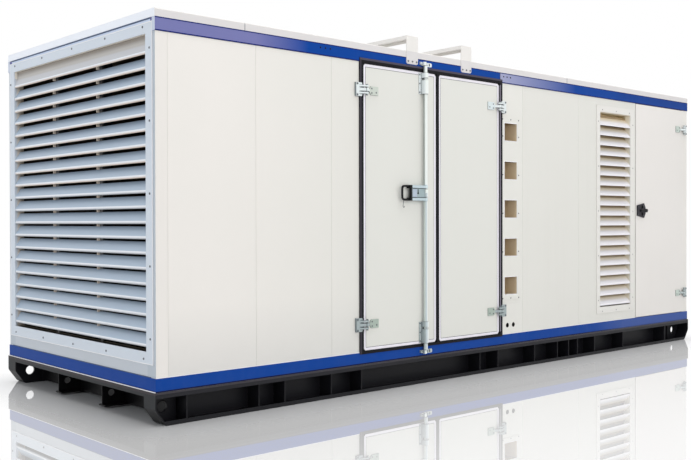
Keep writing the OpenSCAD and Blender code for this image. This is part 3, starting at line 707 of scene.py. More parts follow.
def rims(*leaves: Span, row: Span = (0.361, 2.626)) -> tuple[Tint, ...]:
    """Paints a highlight on the pressed rim of each door leaf, as a paler band.

    Args:
        *leaves: Left and right side of each leaf's inner field.
        row: Lower and upper side of the fields.

    Returns:
        The tints: the rim's painted highlight, then the field's colour inside it.
    """
    inner = chart(221, 221, 215)
    fields = tuple(Tint(inner, x=leaf, y=(1.21, FAR), z=row) for leaf in leaves)
    return (Tint(chart(238, 235, 243), y=(1.2165, FAR), z=PLUS), *fields)


def rod(colour: Colour, foot: float, way: Spot | None = None, square: float = 0.7) -> Tint:
    """Returns a tint of the lock rod; one with a direction paints light and shade on that side of
    it.

    Args:
        colour: Its colour.
        foot: Height from which it covers the rod.
        way: Direction that its faces look, or None for any.
        square: How squarely they have to look that way.

    Returns:
        The tint.
    """
    return Tint(colour, x=(-0.9575, -0.9205), y=(1.2, FAR), z=(foot, FAR), way=way, square=square)


CREAM = Paint(
    "cream_panel_paint", chart(234, 230, 225), chart(228, 226, 220), dust=0.08, runs=0.05,
    tints=(
        SHADED,
        Tint(chart(203, 203, 201), x=(-FAR, -1.0), z=(-1.0, 0.8), soft=1.0),
        INSIDE_SHADE,
    ),
)
ROOF = Paint(
    "roof_paint", chart(232, 229, 225), chart(226, 224, 220), dust=0.06, runs=0.04,
    tints=(
        INSIDE_SHADE,
        # Painted light: the roof's end face paler and bluer, as lit by the sky.
        Tint(chart(244, 247, 254), x=(-FAR, -3.5385), z=(-FAR, 2.83)),
        # Painted shade: the fascia's outward face on the long sides greyed.
        Tint(
            chart(214, 211, 211), x=(-3.538, FAR), y=(1.2, FAR), z=(2.7, 2.8095), amount=0.9,
            way=OUTWARDS
        ),
        # Painted light: faces looking down above the roof brightened against their shade.
        Tint(chart(252, 251, 250), y=PLUS, z=(2.83, FAR), way=UNDER),
    ),
)
POST = Paint(
    "corner_post_paint", chart(233, 229, 224), chart(226, 223, 218), dust=0.08, runs=0.05,
    # Painted shade: the posts' end faces are greyed to the blue-grey of the shaded end.
    tints=(INSIDE_SHADE, Tint(chart(186, 194, 202), x=END_FACE)),
)
DOOR = Paint(
    "door_paint", chart(224, 223, 218), chart(219, 219, 213), dust=0.06, runs=0.03, edge=0.002,
    # The rims' paler band is a painted highlight, and the inside tint is painted shade.
    tints=(*rims((-1.61, -0.8), (-0.718, 0.055), (2.35, 3.5)), INSIDE_SHADE, LEAF_EDGE, LEAF_GROOVE),
)
CONTROL = Paint(
    "control_door_paint", chart(232, 228, 224), chart(226, 223, 218), dust=0.06, runs=0.03,
    edge=0.002,
    tints=(INSIDE_SHADE, LEAF_EDGE),
)
PORT_WALL = Paint(
    "port_wall_paint", chart(226, 225, 219), chart(221, 220, 214), dust=0.06, runs=0.04,
    # Painted shade: faces inside the wall's thickness at the foot of the ports are near black.
    tints=(INSIDE_SHADE, Tint(chart(8, 8, 10), x=(0.16, 0.35), y=(1.15, 1.2115), z=(0.36, 0.45))),
)
SLEEVE = Paint(
    "port_sleeve_board", chart(226, 207, 178), chart(206, 187, 158), rough=0.8, dust=0.0, coat=0.0,
    gloss=0.2, relief=0.002,
    # Painted light and shade: faces looking up are paler, faces looking down dark brown.
    tints=(Tint(chart(232, 224, 208), way=OVER), Tint(chart(120, 98, 66), way=UNDER)),
)
DEEP_BLUE = (0.002, 0.052, 0.3)
BLUE = Paint(
    "blue_band_paint", DEEP_BLUE, (0.004, 0.05, 0.27), dust=0.02, runs=0.03, wear=0.05,
    bare=(0.25, 0.27, 0.38), coat=0.0, gloss=0.09,
    tints=(
        # Painted reflection of the sky in the glossy blue: a hazy pale patch mid-length, deep blue
        # laid back up to the joint, and a hazy patch by the near corner.
        Tint(chart(160, 163, 194), x=(-1.2, 1.3), y=(-2.0, FAR), z=(1.2, 6.0), soft=1.2),
        Tint(DEEP_BLUE, x=(-2.4, 0.093), y=PLUS, z=BAND_ROW),
        Tint(chart(124, 125, 174), x=(-FAR, -2.2), y=PLUS, z=(1.8, 4.0), soft=0.5, amount=0.9),
        Tint(chart(20, 34, 104), y=BAND_SIDE, z=(2.6, 2.671)),
        Tint(chart(20, 34, 104), y=BAND_SIDE, z=(2.749, 3.0)),
        Tint(chart(14, 22, 66), y=PLUS, z=(0.0, 0.2395)),
        Tint(chart(206, 213, 228), x=(-FAR, -3.5365), y=PLUS, z=BAND_ROW),
        # Painted reflection: the band deepens towards the right end, and the sill there takes a
        # paler sheen.
        Tint(chart(2, 10, 52), x=(2.0, FAR), y=PLUS, z=(2.6, FAR), soft=0.8),
        Tint(chart(86, 104, 160), x=(1.6, FAR), y=PLUS, z=(-0.4, 1.0), soft=0.6, amount=0.5),
        INSIDE_SHADE,
    ),
)
SKID = Paint(
    "skid_black_paint", chart(20, 20, 24), chart(27, 27, 32), rough=0.45, dust=0.04, foot=0.0,
    reach=0.1,
    dust_colour=(0.05, 0.048, 0.047), runs=0.03, wear=0.3, bare=(0.06, 0.06, 0.065), edge=0.004,
    relief=0.001, coat=0.0, gloss=0.2,
    tints=(
        # Painted shade: inside the skid and its undersides near black.
        Tint(chart(5, 5, 7), x=(-3.5, 3.5), y=(-1.066, 1.066), z=(-0.1, 0.2)),
        Tint(chart(5, 5, 7), way=UNDER, square=0.2),
        # Painted light: the end faces paler with a highlight along their top, the front flange
        # paler with a highlight along its top edge, and faces looking up paler.
        Tint(chart(38, 40, 42), x=SKID_END, z=(-1.0, 0.232), amount=0.9),
        Tint(chart(56, 50, 54), x=SKID_END, z=(0.212, 0.232), amount=0.9),
        Tint(chart(34, 34, 39), y=SKID_FLANGE, z=(0.19, 0.2302), amount=0.8),
        Tint(chart(84, 80, 86), y=SKID_FLANGE, z=(0.217, 0.2302), soft=0.002),
        Tint(chart(104, 100, 104), y=(1.2, FAR), z=(0.226, FAR), way=OVER),
    ),
)
FRAME = Paint(
    "end_frame_paint", chart(214, 222, 231), chart(207, 215, 225), dust=0.05, reach=1.6, runs=0.06,
    edge=0.0035,
    tints=(
        # Painted light: faces behind the frame's face warm and pale, and the soffit at the top
        # brightened against its shade.
        Tint(chart(244, 230, 214), x=(-3.5265, FAR), z=PLUS, soft=0.02),
        Tint(chart(252, 246, 234), x=(-3.5325, FAR), y=(-1.105, FAR), z=(2.6, FAR), soft=0.002),
        # Painted shade: a near-black strip under the lowest blade.
        Tint(chart(34, 32, 34), x=(-3.534, FAR), y=(-1.09, 1.09), z=(0.495, 0.5235), soft=0.0005),
        # Painted shade: tan and darker further in, near black deep inside.
        Tint(chart(196, 182, 160), x=(-3.5, FAR), z=PLUS, soft=0.04),
        Tint(chart(30, 28, 28), x=(-3.453, FAR), z=(0.0, 2.7), soft=0.005),
    ),
)
# The kick panels and end headers are cream: their blue-grey is painted shade of the shaded end, the
# end header's outward face is painted paler and bluer as lit by the sky, and the right end keeps
# the plain cream.
KICK = Paint(
    "kick_panel_paint_and_shade", chart(198, 204, 211), chart(190, 196, 204), dust=0.08, reach=1.6, runs=0.06,
    tints=(
        INSIDE_SHADE,
        Tint(chart(214, 226, 246), x=END_FACE, z=(2.7, FAR)),
        Tint(chart(226, 224, 219), x=(3.0, FAR), z=PLUS),
    ),
)
BLADES = Paint(
    "end_blade_paint", chart(240, 243, 247), chart(232, 236, 242), dust=0.04, reach=2.4, runs=0.04,
    edge=0.003,
    tints=(
        # Painted reflection and shade: the slopes behind the lips bluer as they reflect the sky,
        # and darker further in.
        Tint(chart(176, 193, 211), x=(-3.5312, FAR), z=PLUS, soft=0.002),
        Tint(chart(136, 150, 166), x=(-3.508, FAR), z=PLUS, soft=0.022, amount=0.6),
        # Painted shade: the lips' undersides tan above eye height and grey below it.
        Tint(chart(214, 196, 178), z=(1.6, FAR), amount=0.9, way=(-0.8, 0.0, -0.6)),
        Tint(chart(150, 150, 152), z=(-FAR, 1.6), amount=0.8, way=(-0.8, 0.0, -0.6)),
        # Painted shade: faces looking down in the gaps near black.
        Tint(chart(26, 26, 32), x=(-3.5305, FAR), z=PLUS, way=(0.3, 0.0, -1.0), square=0.4),
        # Painted shade: the head blade greys upwards to a dark shadow under the frame.
        Tint(chart(198, 199, 203), x=(-3.5312, -3.4), z=(2.541, FAR), soft=0.002),
        Tint(chart(182, 177, 170), x=(-3.53, -3.4), z=(2.58, FAR), soft=0.016, amount=0.8),
        Tint(chart(138, 129, 120), z=(2.606, FAR), soft=0.03),
    ),
)
# Painted shade: the uprights are dark because they stand in the louvre's shade, near black further
# in.
COMB = Paint(
    "mullion_painted_shade", chart(60, 58, 58), chart(46, 44, 46), rough=0.45, dust=0.04, runs=0.04,
    tints=(Tint(chart(20, 20, 24), x=(-3.48, FAR), z=PLUS, soft=0.008),),
)
# Painted light: the pale tan of the uprights' front edges where light reaches them under each lip.
TOOTH = Paint(
    "upright_tooth_painted_light", chart(212, 196, 178), chart(198, 184, 168), rough=0.45, dust=0.0,
    runs=0.0
)
BLADE = Paint(
    "side_blade_paint", chart(238, 236, 240), chart(232, 231, 235), dust=0.03, runs=0.03,
    tints=(
        # Painted shade: the blades warmer and tan further in, brown on faces looking down.
        Tint(chart(238, 226, 202), y=(0.0, 1.192), z=PLUS, soft=0.022, amount=0.85),
        Tint(chart(206, 182, 140), y=(0.0, 1.166), z=PLUS, soft=0.016, amount=0.8),
        Tint(chart(110, 90, 62), y=(-FAR, 1.2115), way=(0.0, -0.3, -1.0), square=0.5),
    ),
)
VENT = Paint(
    "side_vent_paint", chart(228, 226, 221), chart(223, 221, 216), dust=0.05, runs=0.03,
    tints=(
        # Painted light and shade in the hood: paler and warmer just behind the face, tan at its
        # top.
        Tint(chart(238, 231, 214), y=(0.0, 1.2125), z=PLUS, soft=0.012),
        Tint(chart(226, 204, 158), y=(0.0, 1.16), z=(2.3, FAR), soft=0.03),
    ),
)
# Painted shade: the brown of the blades' back folds is the shade seen in the gap under each lip.
UPSTAND = Paint(
    "blade_upstand_painted_shade", chart(150, 128, 94), chart(128, 108, 78), rough=0.5, dust=0.0, runs=0.0
)
GREENISH = chart(168, 182, 172)
SILVER = Zinc(
    "zinc_fitting", chart(194, 203, 203), chart(158, 170, 172), rough=0.4, metal=0.12,
    tints=(
        # Painted light and shade: fittings high up paler, the low ones at the front darker.
        Tint(chart(226, 233, 234), y=PLUS, z=(2.2, FAR)),
        Tint(chart(158, 170, 172), x=(-1.8, 0.2), y=(1.2255, FAR), z=(0.0, 0.7), amount=0.8),
        # The straps: greenish grey low down, painted paler higher up as lit from above.
        Tint(GREENISH, x=LEFT_STRAP, y=STRAP_FACE, z=(0.0, 2.0)),
        Tint(GREENISH, x=RIGHT_STRAP, y=STRAP_FACE, z=(0.0, 2.0)),
        Tint(chart(200, 207, 198), x=LEFT_STRAP, y=STRAP_FACE, z=(2.0, FAR)),
        Tint(chart(216, 226, 228), x=RIGHT_STRAP, y=STRAP_FACE, z=(2.0, FAR)),
        Tint(chart(196, 208, 200), x=CONTROL_STRAP, y=STRAP_FACE, z=PLUS),
        # The rod's own colour, then painted light and shade: darker on its left side, paler on its
        # right, and higher up paler still with a darker left side.
        rod(chart(192, 203, 208), 0.2),
        rod(chart(116, 126, 128), 0.2, (-0.745, -0.667, 0.0), 0.6),
        rod(chart(206, 216, 211), 0.2, (-0.99, 0.1, 0.0), 0.72),
        rod(chart(232, 238, 236), 0.2, (0.745, 0.667, 0.0), 0.45),
        rod(chart(236, 241, 238), 1.62),
        rod(chart(150, 157, 154), 1.62, (-0.95, -0.3, 0.0), 0.68),
        # Painted shade: nooks and undersides darkened, and the left hinge's faces looking along -X.
        Tint(chart(60, 70, 78), amount=0.9, nook=0.012),
        Tint(chart(62, 70, 76), amount=0.9, way=UNDER, square=0.6),
        Tint(
            chart(120, 130, 134), x=(-1.8, -1.0), y=(1.2, FAR), z=PLUS, amount=0.9,
            way=(-1.0, 0.0, 0.0), square=0.8
        ),
        Tint(chart(196, 214, 222), x=LEVER, y=LOCK_FACE, z=(1.55, 1.578), amount=0.7),
        Tint(chart(196, 214, 222), x=LEVER, y=LOCK_FACE, z=(1.6605, 1.69), amount=0.7),
        Tint(
            chart(156, 174, 178), x=(-1.06, -0.955), y=(1.23, 1.2582), z=(1.5785, 1.6602),
            amount=0.9
        ),
        Tint(
            chart(180, 192, 208), x=(-1.112, -1.055), y=(1.2582, 1.262), z=(1.58, 1.66), amount=0.9
        ),
        # Painted shade: the keyhole's pocket blackened.
        Tint(chart(6, 6, 8), x=(-1.0555, -1.0265), y=(1.2, 1.2575), z=(1.585, 1.66)),
        Tint(chart(14, 14, 16), x=(-1.23, -1.1432), y=LOCK_FACE, z=(1.54, 1.69)),
        Tint(chart(14, 14, 16), x=(-1.16, -1.1135), y=LOCK_FACE, z=(1.5785, 1.6605)),
    ),
)
DULL = Zinc("dull_bolt", chart(120, 124, 128), chart(78, 82, 88), rough=0.42, metal=0.3, size=240.0)
SCREW = Zinc(
    "painted_screw", chart(176, 176, 176), chart(140, 140, 142), rough=0.45, metal=0.2, size=240.0
)
GASKET = Rubber(
    "door_frame_black", chart(14, 14, 18), chart(26, 25, 31), rough=0.7,
    tints=(
        # Painted sheen and highlights on the black frame: its top bar and left jamb greyed, a pale
        # strip and a grey one along the right jamb.
        Tint(chart(76, 72, 86), y=SURROUND_FACE, z=(2.676, FAR), way=OUTWARDS),
        Tint(chart(58, 54, 62), x=(-1.69, -1.659), y=SURROUND_FACE, z=(0.0, 2.68), way=OUTWARDS),
        Tint(chart(132, 127, 140), x=(0.076, 0.095), y=SURROUND_FACE, z=(0.36, 2.64), way=OUTWARDS),
        Tint(chart(30, 28, 34), x=(0.095, 0.13), y=SURROUND_FACE, z=(0.0, 2.68), way=OUTWARDS),
    ),
)
# Black moulded parts; this black also paints the shade in the keeper slots and along the lever's
# rails.
BLACK_PLASTIC_AND_SHADE = Rubber("moulded_black_and_shade", chart(10, 10, 12), chart(26, 25, 29), rough=0.38, grain=900.0)
DISH = Rubber(
    "latch_dish", chart(36, 34, 40), chart(52, 49, 56), rough=0.4, grain=900.0,
    # Painted shade: the dish's pockets blackened inside.
    tints=(Tint(chart(8, 8, 10), x=(2.5, FAR), y=(1.2185, 1.2265), z=(1.42, FAR)),),
)
LINING = FibreLining("port_lining", chart(206, 182, 142), chart(150, 126, 92))
# White beads and rims; on the sills' ledges, the end rails' ledges and the end frame's edge the
# white is a painted highlight.
SEALANT_AND_HIGHLIGHT = Rubber("white_sealant_and_highlight", chart(240, 240, 242), chart(226, 226, 230), rough=0.5)
LINE = Rubber("joint_line", chart(150, 152, 158), chart(128, 130, 138), rough=0.6)
# Dark strips; the one under the end header paints the shadow of the roof's overhang.
DARK_LINE = Rubber("dark_joint_and_shadow_line", chart(84, 100, 128), chart(70, 86, 112), rough=0.6)


# ---- places ----

OUT = Vector((0.0, -1.0, 0.0))
LEFT = Vector((-1.0, 0.0, 0.0))
UP = Vector((0.0, 0.0, 1.0))

# Distance from blade to blade, and the height of a blade, in all louvres.
BLADE_PITCH, BLADE_RISE = 0.105, 0.09
# How far a thin line stands out of a face, and how far below the face it starts.
PROUD, SUNK = 0.0006, 0.001


def low(node: str) -> Vector:
    """Returns a node's lowest corner."""
    return Vector(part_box(node)[0])


def high(node: str) -> Vector:
    """Returns a node's highest corner."""
    return Vector(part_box(node)[1])


def spread(first: float, last: float, count: int) -> list[float]:
    """Returns evenly spaced numbers from the first to the last."""
    return [first + (last - first) * i / (count - 1) for i in range(count)]


def blade_feet(node: str) -> list[float]:
    """Returns the height of the lower edge of each blade in a louvre."""
    count = round((high(node).z - low(node).z - BLADE_RISE) / BLADE_PITCH) + 1
    return [low(node).z + i * BLADE_PITCH for i in range(count)]


def add_object(name: str, data: Any) -> bpy.types.Object:
    """Adds an object to the scene."""
    obj = bpy.data.objects.new(name, data)
    bpy.context.scene.collection.objects.link(obj)
    return obj


def across_path(path: Sequence[Vector]) -> list[Vector]:
    """Returns the direction across a path at each of its points, in a plane across Y."""
    ways = [ahead - behind for ahead, behind in zip([*path[1:], path[-1]], [path[0], *path])]
    return [way.normalized().cross(OUT).normalized() for way in ways]


# ---- mesh work ----


class Head(Enum):
    """Shapes of a fastener's head."""

    HEX = "hex"
    DOME = "dome"


@dataclass
class Bench:
    """Gathers solids into one mesh and turns them into a piece."""

    mesh: bmesh.types.BMesh = field(default_factory=bmesh.new)

    def ring(
        self, centre: Vector, across: Vector, up: Vector, radius: float, sides: int,
        turn: float = 0.0
    ) -> list[Vert]:
        """Adds one round of vertices.

        Args:
            centre: Middle of the round.
            across: Unit vector to its first vertex.
            up: Unit vector a quarter turn on.
            radius: Its radius.
            sides: Its number of vertices.
            turn: Angle of the first vertex.

        Returns:
            The vertices in order.
        """
        out = []
        for i in range(sides):
            a = turn + 2 * math.pi * i / sides
            out.append(
                self.mesh.verts.new(centre + (across * math.cos(a) + up * math.sin(a)) * radius)
            )
        return out

    def skin(self, rings: Sequence[list[Vert]], closed: bool = False) -> None:
        """Joins rounds of vertices by quads and caps both ends.

        Args:
            rings: The rounds in order, all of one length.
            closed: True if the last joins the first, without caps.
        """
        pairs = list(zip(rings, rings[1:])) + ([(rings[-1], rings[0])] if closed else [])
        for low, high in pairs:
            n = len(low)
            for i in range(n):
                self.mesh.faces.new((low[i], low[(i + 1) % n], high[(i + 1) % n], high[i]))
        if not closed:
            self.mesh.faces.new(list(reversed(rings[0])))
            self.mesh.faces.new(rings[-1])

    def turned(
        self, centre: Vector, axis: Vector, steps: Iterable[tuple[float, float]], sides: int = 16,
        turn: float = 0.0
    ) -> None:
        """Adds a solid of revolution.

        Args:
            centre: Point on the axis.
            axis: Unit vector along it.
            steps: Distances along the axis with the radius at each.
            sides: Number of faces round it.
            turn: Angle of its first edge.
        """
        across = axis.orthogonal().normalized()
        up = axis.cross(across)
        self.skin([self.ring(centre + axis * d, across, up, r, sides, turn) for d, r in steps])

    def bolt(self, at: Vector, axis: Vector, size: float, head: Head) -> None:
        """Adds a fastener's head that stands on a face.

        Args:
            at: Point on the face.
            axis: Unit vector out of the face.
            size: Radius of the head.
            head: Shape of the head.
        """
        if head is Head.HEX:
            tall, turn = size * 0.8, (at.x * 37.0 + at.z * 53.0) % 1.0
            steps = [(-0.0004, size), (tall * 0.8, size), (tall, size * 0.82)]
            self.turned(at, axis, steps, 6, turn)
            return
        steps = [(-0.0006, size)]
        for a in (0.25, 0.6, 0.95, 1.25, 1.5):
            steps.append((size * 0.6 * math.sin(a), size * max(math.cos(a), 0.08)))
        self.turned(at, axis, steps, 14)

    def loop(self, low: Vector, high: Vector, axis: int, profile: Profile) -> None:
        """Runs a closed profile round a rectangle with mitred corners.

        Args:
            low: Lowest corner of the rectangle.
            high: Highest corner of the rectangle.
            axis: 0 for a rectangle that looks along X, 1 for one that looks along Y.
            profile: Its points: how far inside the rectangle, and how far along -axis from low.
        """
        side = 1 - axis
        rings = []
        for inset, out in profile:
            ring = []
            left, right = low[side] + inset, high[side] - inset
            bottom, top = low.z + inset, high.z - inset
            for s, z in ((left, bottom), (right, bottom), (right, top), (left, top)):
                v = Vector((0.0, 0.0, z))
                v[side] = s
                v[axis] = low[axis] - out
                ring.append(self.mesh.verts.new(v))
            rings.append(ring)
        self.skin(rings, closed=True)

    def ring_bar(self, centre: Vector, axis: Vector, radius: float, thick: float) -> None:
        """Adds a round bar bent to a ring.

        Args:
            centre: Middle of the ring.
            axis: Unit vector along its axis.
            radius: Radius of the ring.
            thick: Radius of the bar.
        """
        across = axis.orthogonal().normalized()
        up = axis.cross(across)
        steps = 32
        rings = []
        for i in range(steps):
            a = 2 * math.pi * i / steps
            way = across * math.cos(a) + up * math.sin(a)
            rings.append(self.ring(centre + way * radius, way, axis, thick, 8))
        self.skin(rings, closed=True)

    def wire(self, path: Sequence[Vector], thick: float) -> None:
        """Adds a bent wire that lies in a plane across Y.

        Args:
            path: Points along its middle.
            thick: Its radius.
        """
        steps = zip(path, across_path(path))
        self.skin([self.ring(point, across, OUT, thick, 8) for point, across in steps])

    def sweep(self, path: Sequence[Vector], tall: float, deep: float, ease: float) -> None:
        """Runs a soft-edged bar along a path that lies in a plane across Y.

        Args:
            path: Points along its middle.
            tall: Its thickness in the plane.
            deep: Its depth along Y.
            ease: How much its edges are cut back.
        """
        a, b = tall / 2, deep / 2
        half = ((a - ease, -b), (a, ease - b), (a, b - ease), (a - ease, b))
        outline = (*half, *((-p, -q) for p, q in half))
        self.skin([
            [self.mesh.verts.new(point + across * p - OUT * q) for p, q in outline]
            for point, across in zip(path, across_path(path))
        ])

    def block(self, first: Vector, last: Vector) -> None:
        """Adds a square-edged bar between two corners."""
        place = Matrix.Translation((first + last) / 2) @ Matrix.Diagonal((*(last - first), 1.0))
        bmesh.ops.create_cube(self.mesh, size=1.0, matrix=place)

    def pill(self, centre: Vector, axis: Vector, tall: float, wide: float, thick: float) -> None:
        """Adds a thin upright plate with round ends that stands on a face.

        Args:
            centre: Its middle on the face.
            axis: Unit vector out of the face.
            tall: Its height.
            wide: Its width.
            thick: How far it stands out.
        """
        across = axis.cross(UP)
        radius, straight = wide / 2, (tall - wide) / 2
        rings = []
        for out, shrink in ((-0.0005, 1.0), (thick * 0.6, 1.0), (thick, 0.85)):
            ring = []
            for i in range(16):
                a = 2 * math.pi * (i + 0.5) / 16
                rise = math.sin(a) * radius * shrink + math.copysign(straight, math.sin(a))
                aside = math.cos(a) * radius * shrink
                ring.append(self.mesh.verts.new(centre + axis * out + across * aside + UP * rise))
            rings.append(ring)
        self.skin(rings)

    def piece(
        self, name: str, body: str, finish: Finish, slot: str, bevel: float = 0.0,
        smooth: float = 35.0
    ) -> bpy.types.Object:
        """Makes a piece of what the bench holds.

        Args:
            name: The piece's name.
            body: The body that it rides on.
            finish: Its finish.
            slot: The record's material slot; not used.
            bevel: Width of a bevel on its edges.
            smooth: Angle in degrees under which edges are smoothed.

        Returns:
            The new object.
        """
        bmesh.ops.recalc_face_normals(self.mesh, faces=self.mesh.faces)
        data = bpy.data.meshes.new(name)
        self.mesh.to_mesh(data)
        self.mesh.free()
        obj = add_object(name, data)
        data.materials.append(finish.material())
        data.shade_smooth()
        data.set_sharp_from_angle(angle=math.radians(smooth))
        if bevel:
            step = obj.modifiers.new("bevel", "BEVEL")
            step.width, step.segments, step.limit_method = bevel, 2, "ANGLE"
            step.angle_limit = math.radians(40)
        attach(obj, body)
        log.info("piece %s: %d faces on %s", name, len(data.polygons), body)
        return obj


def dress(finish: Finish, *nodes: str) -> None:
    """Gives CAD nodes a finish.

    Args:
        finish: The finish.
        *nodes: Names of the nodes.
    """
    for node in nodes:
        data = frame["nodes"][node].data
        data.materials.clear()
        data.materials.append(finish.material())
        data.shade_smooth()
        data.set_sharp_from_angle(angle=math.radians(25))


@dataclass(frozen=True)
class Fixings:
    """Like fasteners of one set.

    Attributes:
        name: Name of their piece.
        size: Radius of a head.
        head: Shape of a head.
        finish: Their finish.
        body: The body that they ride on.
    """

    name: str
    size: float
    head: Head = Head.DOME
    finish: Finish = DULL
    body: str = "root"

    def put(self, places: Iterable[Vector], axis: Vector = OUT, rear: bool = False) -> None:
        """Sets the fasteners on a face.

        Args:
            places: Where each stands.
            axis: Direction out of the face.
            rear: True for the same set on the rear side too, which doesn't move.
        """
        spots = list(places)
        self.drive(self.name, self.body, spots, axis)
        if rear:
            flip = Vector((1.0, -1.0, 1.0))
            self.drive(f"rear_{self.name}", "root", [p * flip for p in spots], axis * flip)

    def drive(self, name: str, body: str, spots: Iterable[Vector], axis: Vector) -> None:
        """Makes one piece of fasteners.

        Args:
            name: The piece's name.
            body: The body that it rides on.
            spots: Where each fastener stands.
            axis: Direction out of the face.
        """
        bench = Bench()
        for spot in spots:
            bench.bolt(spot, axis, self.size, self.head)
        bench.piece(name, body, self.finish, "zinc_steel")


def strip(
    name: str, bars: Iterable[Bar], finish: Finish, slot: str, body: str = "root",
    bevel: float = 0.0
) -> None:
    """Makes one piece of small square-edged bars.

    Args:
        name: The piece's name.
        bars: Lowest and highest corner of each bar.
        finish: Its finish.
        slot: The record's material slot.
        body: The body that it rides on.
        bevel: Width of the bevel on its edges.
    """
    bench = Bench()
    for first, last in bars:
        bench.block(first, last)
    bench.piece(name, body, finish, slot, bevel=bevel)


def both(bars: Iterable[Bar]) -> list[Bar]:
    """Returns bars with their likes on the rear side."""
    out = []
    for first, last in bars:
        rear = (Vector((first.x, -last.y, first.z)), Vector((last.x, -first.y, last.z)))
        out += [(first, last), rear]
    return out


# ---- studio ----


@dataclass
class Studio:
    """Floor, world, lamps and camera.

    Attributes:
        eye: Where the camera stands.
        heading: Its direction over the ground, in degrees from +X towards +Y.
        tilt: How far it looks up, in degrees.
        roll: How far it is turned round its own axis, in degrees.
        lens: Its focal length in millimetres on a 36 mm sensor.
        footprint: Half the length and width of the ground under the object.
    """

    eye: Vector = field(default_factory=lambda: Vector((-6.7941, -6.7646, 1.3768)))
    heading: float = 48.16
    tilt: float = -0.494
    roll: float = 0.109
    lens: float = 49.07
    footprint: Spot = (3.5, 1.2, 0.0)

    def camera(self) -> None:
        """Adds the camera."""
        data = bpy.data.cameras.new("camera")
        data.lens, data.sensor_width, data.clip_end = self.lens, 36.0, 200.0
        obj = add_object("camera", data)
        h, t = math.radians(self.heading), math.radians(self.tilt)
        look = Vector((math.cos(h) * math.cos(t), math.sin(h) * math.cos(t), math.sin(t)))
        turn = Quaternion(look, math.radians(self.roll))
        obj.rotation_mode = "QUATERNION"
        obj.rotation_quaternion = turn @ look.to_track_quat("-Z", "Y")
        obj.location = self.eye
        bpy.context.scene.camera = obj

    def world(self) -> None:
        """Makes the background white to the eye and in gloss, and a plain fill for all else."""
        world = bpy.data.worlds.new("studio")
        world.use_nodes = True
        bpy.context.scene.world = world
        desk = Desk(world.node_tree)
        desk.tree.nodes.clear()
        path = desk.add("ShaderNodeLightPath").outputs
        seen = desk.maths("MAXIMUM", path["Is Camera Ray"], path["Is Transmission Ray"])
        fill, gloss, white = (
            desk.add("ShaderNodeBackground", {"Color": (*colour, 1.0), "Strength": power})
            for colour, power in (((0.95, 0.97, 1.0), 0.52), (WHITE, 1.0), (WHITE, 1.0))
        )
        unseen = desk.mix(path["Is Glossy Ray"], fill, gloss)
        both = desk.mix(seen, unseen, white)
        desk.add("ShaderNodeOutputWorld", {"Surface": both.outputs[0]})

    def floor(self) -> None:
        """Adds a large white floor with a polished face, which fades out round the object."""
        data = bpy.data.meshes.new("floor")
        half = 60.0
        corners = [(-half, -half, 0), (half, -half, 0), (half, half, 0), (-half, half, 0)]
        data.from_pydata(corners, [], [(0, 1, 2, 3)])
        obj = add_object("floor", data)
        made = bpy.data.materials.new("studio_floor")
        made.use_nodes = True
        desk = Desk(made.node_tree)
        desk.tree.nodes.clear()
        clear = (*WHITE, 1.0)
        matt = desk.add("ShaderNodeBsdfDiffuse", {"Color": (0.9, 0.9, 0.9, 1.0)})
        white = desk.add("ShaderNodeEmission", {"Color": clear, "Strength": 1.0})
        out = desk.vectors("SUBTRACT", desk.vectors("ABSOLUTE", desk.place()), self.footprint)
        away = desk.vectors("LENGTH", desk.vectors("MAXIMUM", out, (0.0, 0.0, 0.0)), result="Value")
        eye = desk.add("ShaderNodeLightPath").outputs["Is Camera Ray"]
        lit = desk.maths("MULTIPLY", desk.remap(away, 0.0, 0.55), eye)
        base = desk.mix(lit, matt, white)
        shine = desk.add("ShaderNodeBsdfGlossy", {"Color": clear, "Roughness": 0.0})
        both = desk.mix(0.5, base, shine)
        gone = desk.maths("MULTIPLY", desk.remap(away, 1.0, 4.2), eye)
        faded = desk.mix(gone, both, white)
        desk.add("ShaderNodeOutputMaterial", {"Surface": faded.outputs[0]})
        data.materials.append(made)

    def lamp(
        self, name: str, at: Spot, aim: Spot, size: tuple[float, float], power: float,
        colour: Colour,
    ) -> None:
        """Adds one soft rectangular lamp.

        Args:
            name: Its name.
            at: Where it hangs.
            aim: The point that it faces.
            size: Its width and height in metres.
            power: Its power in watts.
            colour: Its colour.
        """
        data = bpy.data.lights.new(name, "AREA")
        data.shape, data.energy, data.color = "RECTANGLE", power, colour
        data.size, data.size_y = size
        obj = add_object(name, data)
        obj.location = at
        obj.rotation_mode = "QUATERNION"
        obj.rotation_quaternion = (Vector(aim) - Vector(at)).to_track_quat("-Z", "Y")
        obj.visible_camera = False
        obj.visible_glossy = False

    def build(self) -> None:
        """Sets up the whole studio."""
        bpy.context.scene.view_settings.view_transform = "Standard"
        self.camera()
        self.world()
        self.floor()
        ground, front, end = (0.0, 0.0, 0.0), (0.0, -1.2, 1.2), (-3.5, 0.0, 1.4)
        self.lamp("top_lamp", (0.0, -1.0, 9.0), ground, (12.0, 8.0), 490.0, WHITE)
        self.lamp("front_lamp", (-1.0, -11.0, 5.0), front, (12.0, 5.0), 425.0, (1.0, 0.985, 0.96))
        self.lamp("end_lamp", (-12.0, 1.0, 4.0), end, (7.0, 5.0), 195.0, (0.9, 0.95, 1.0))


# ---- sub-assemblies ----


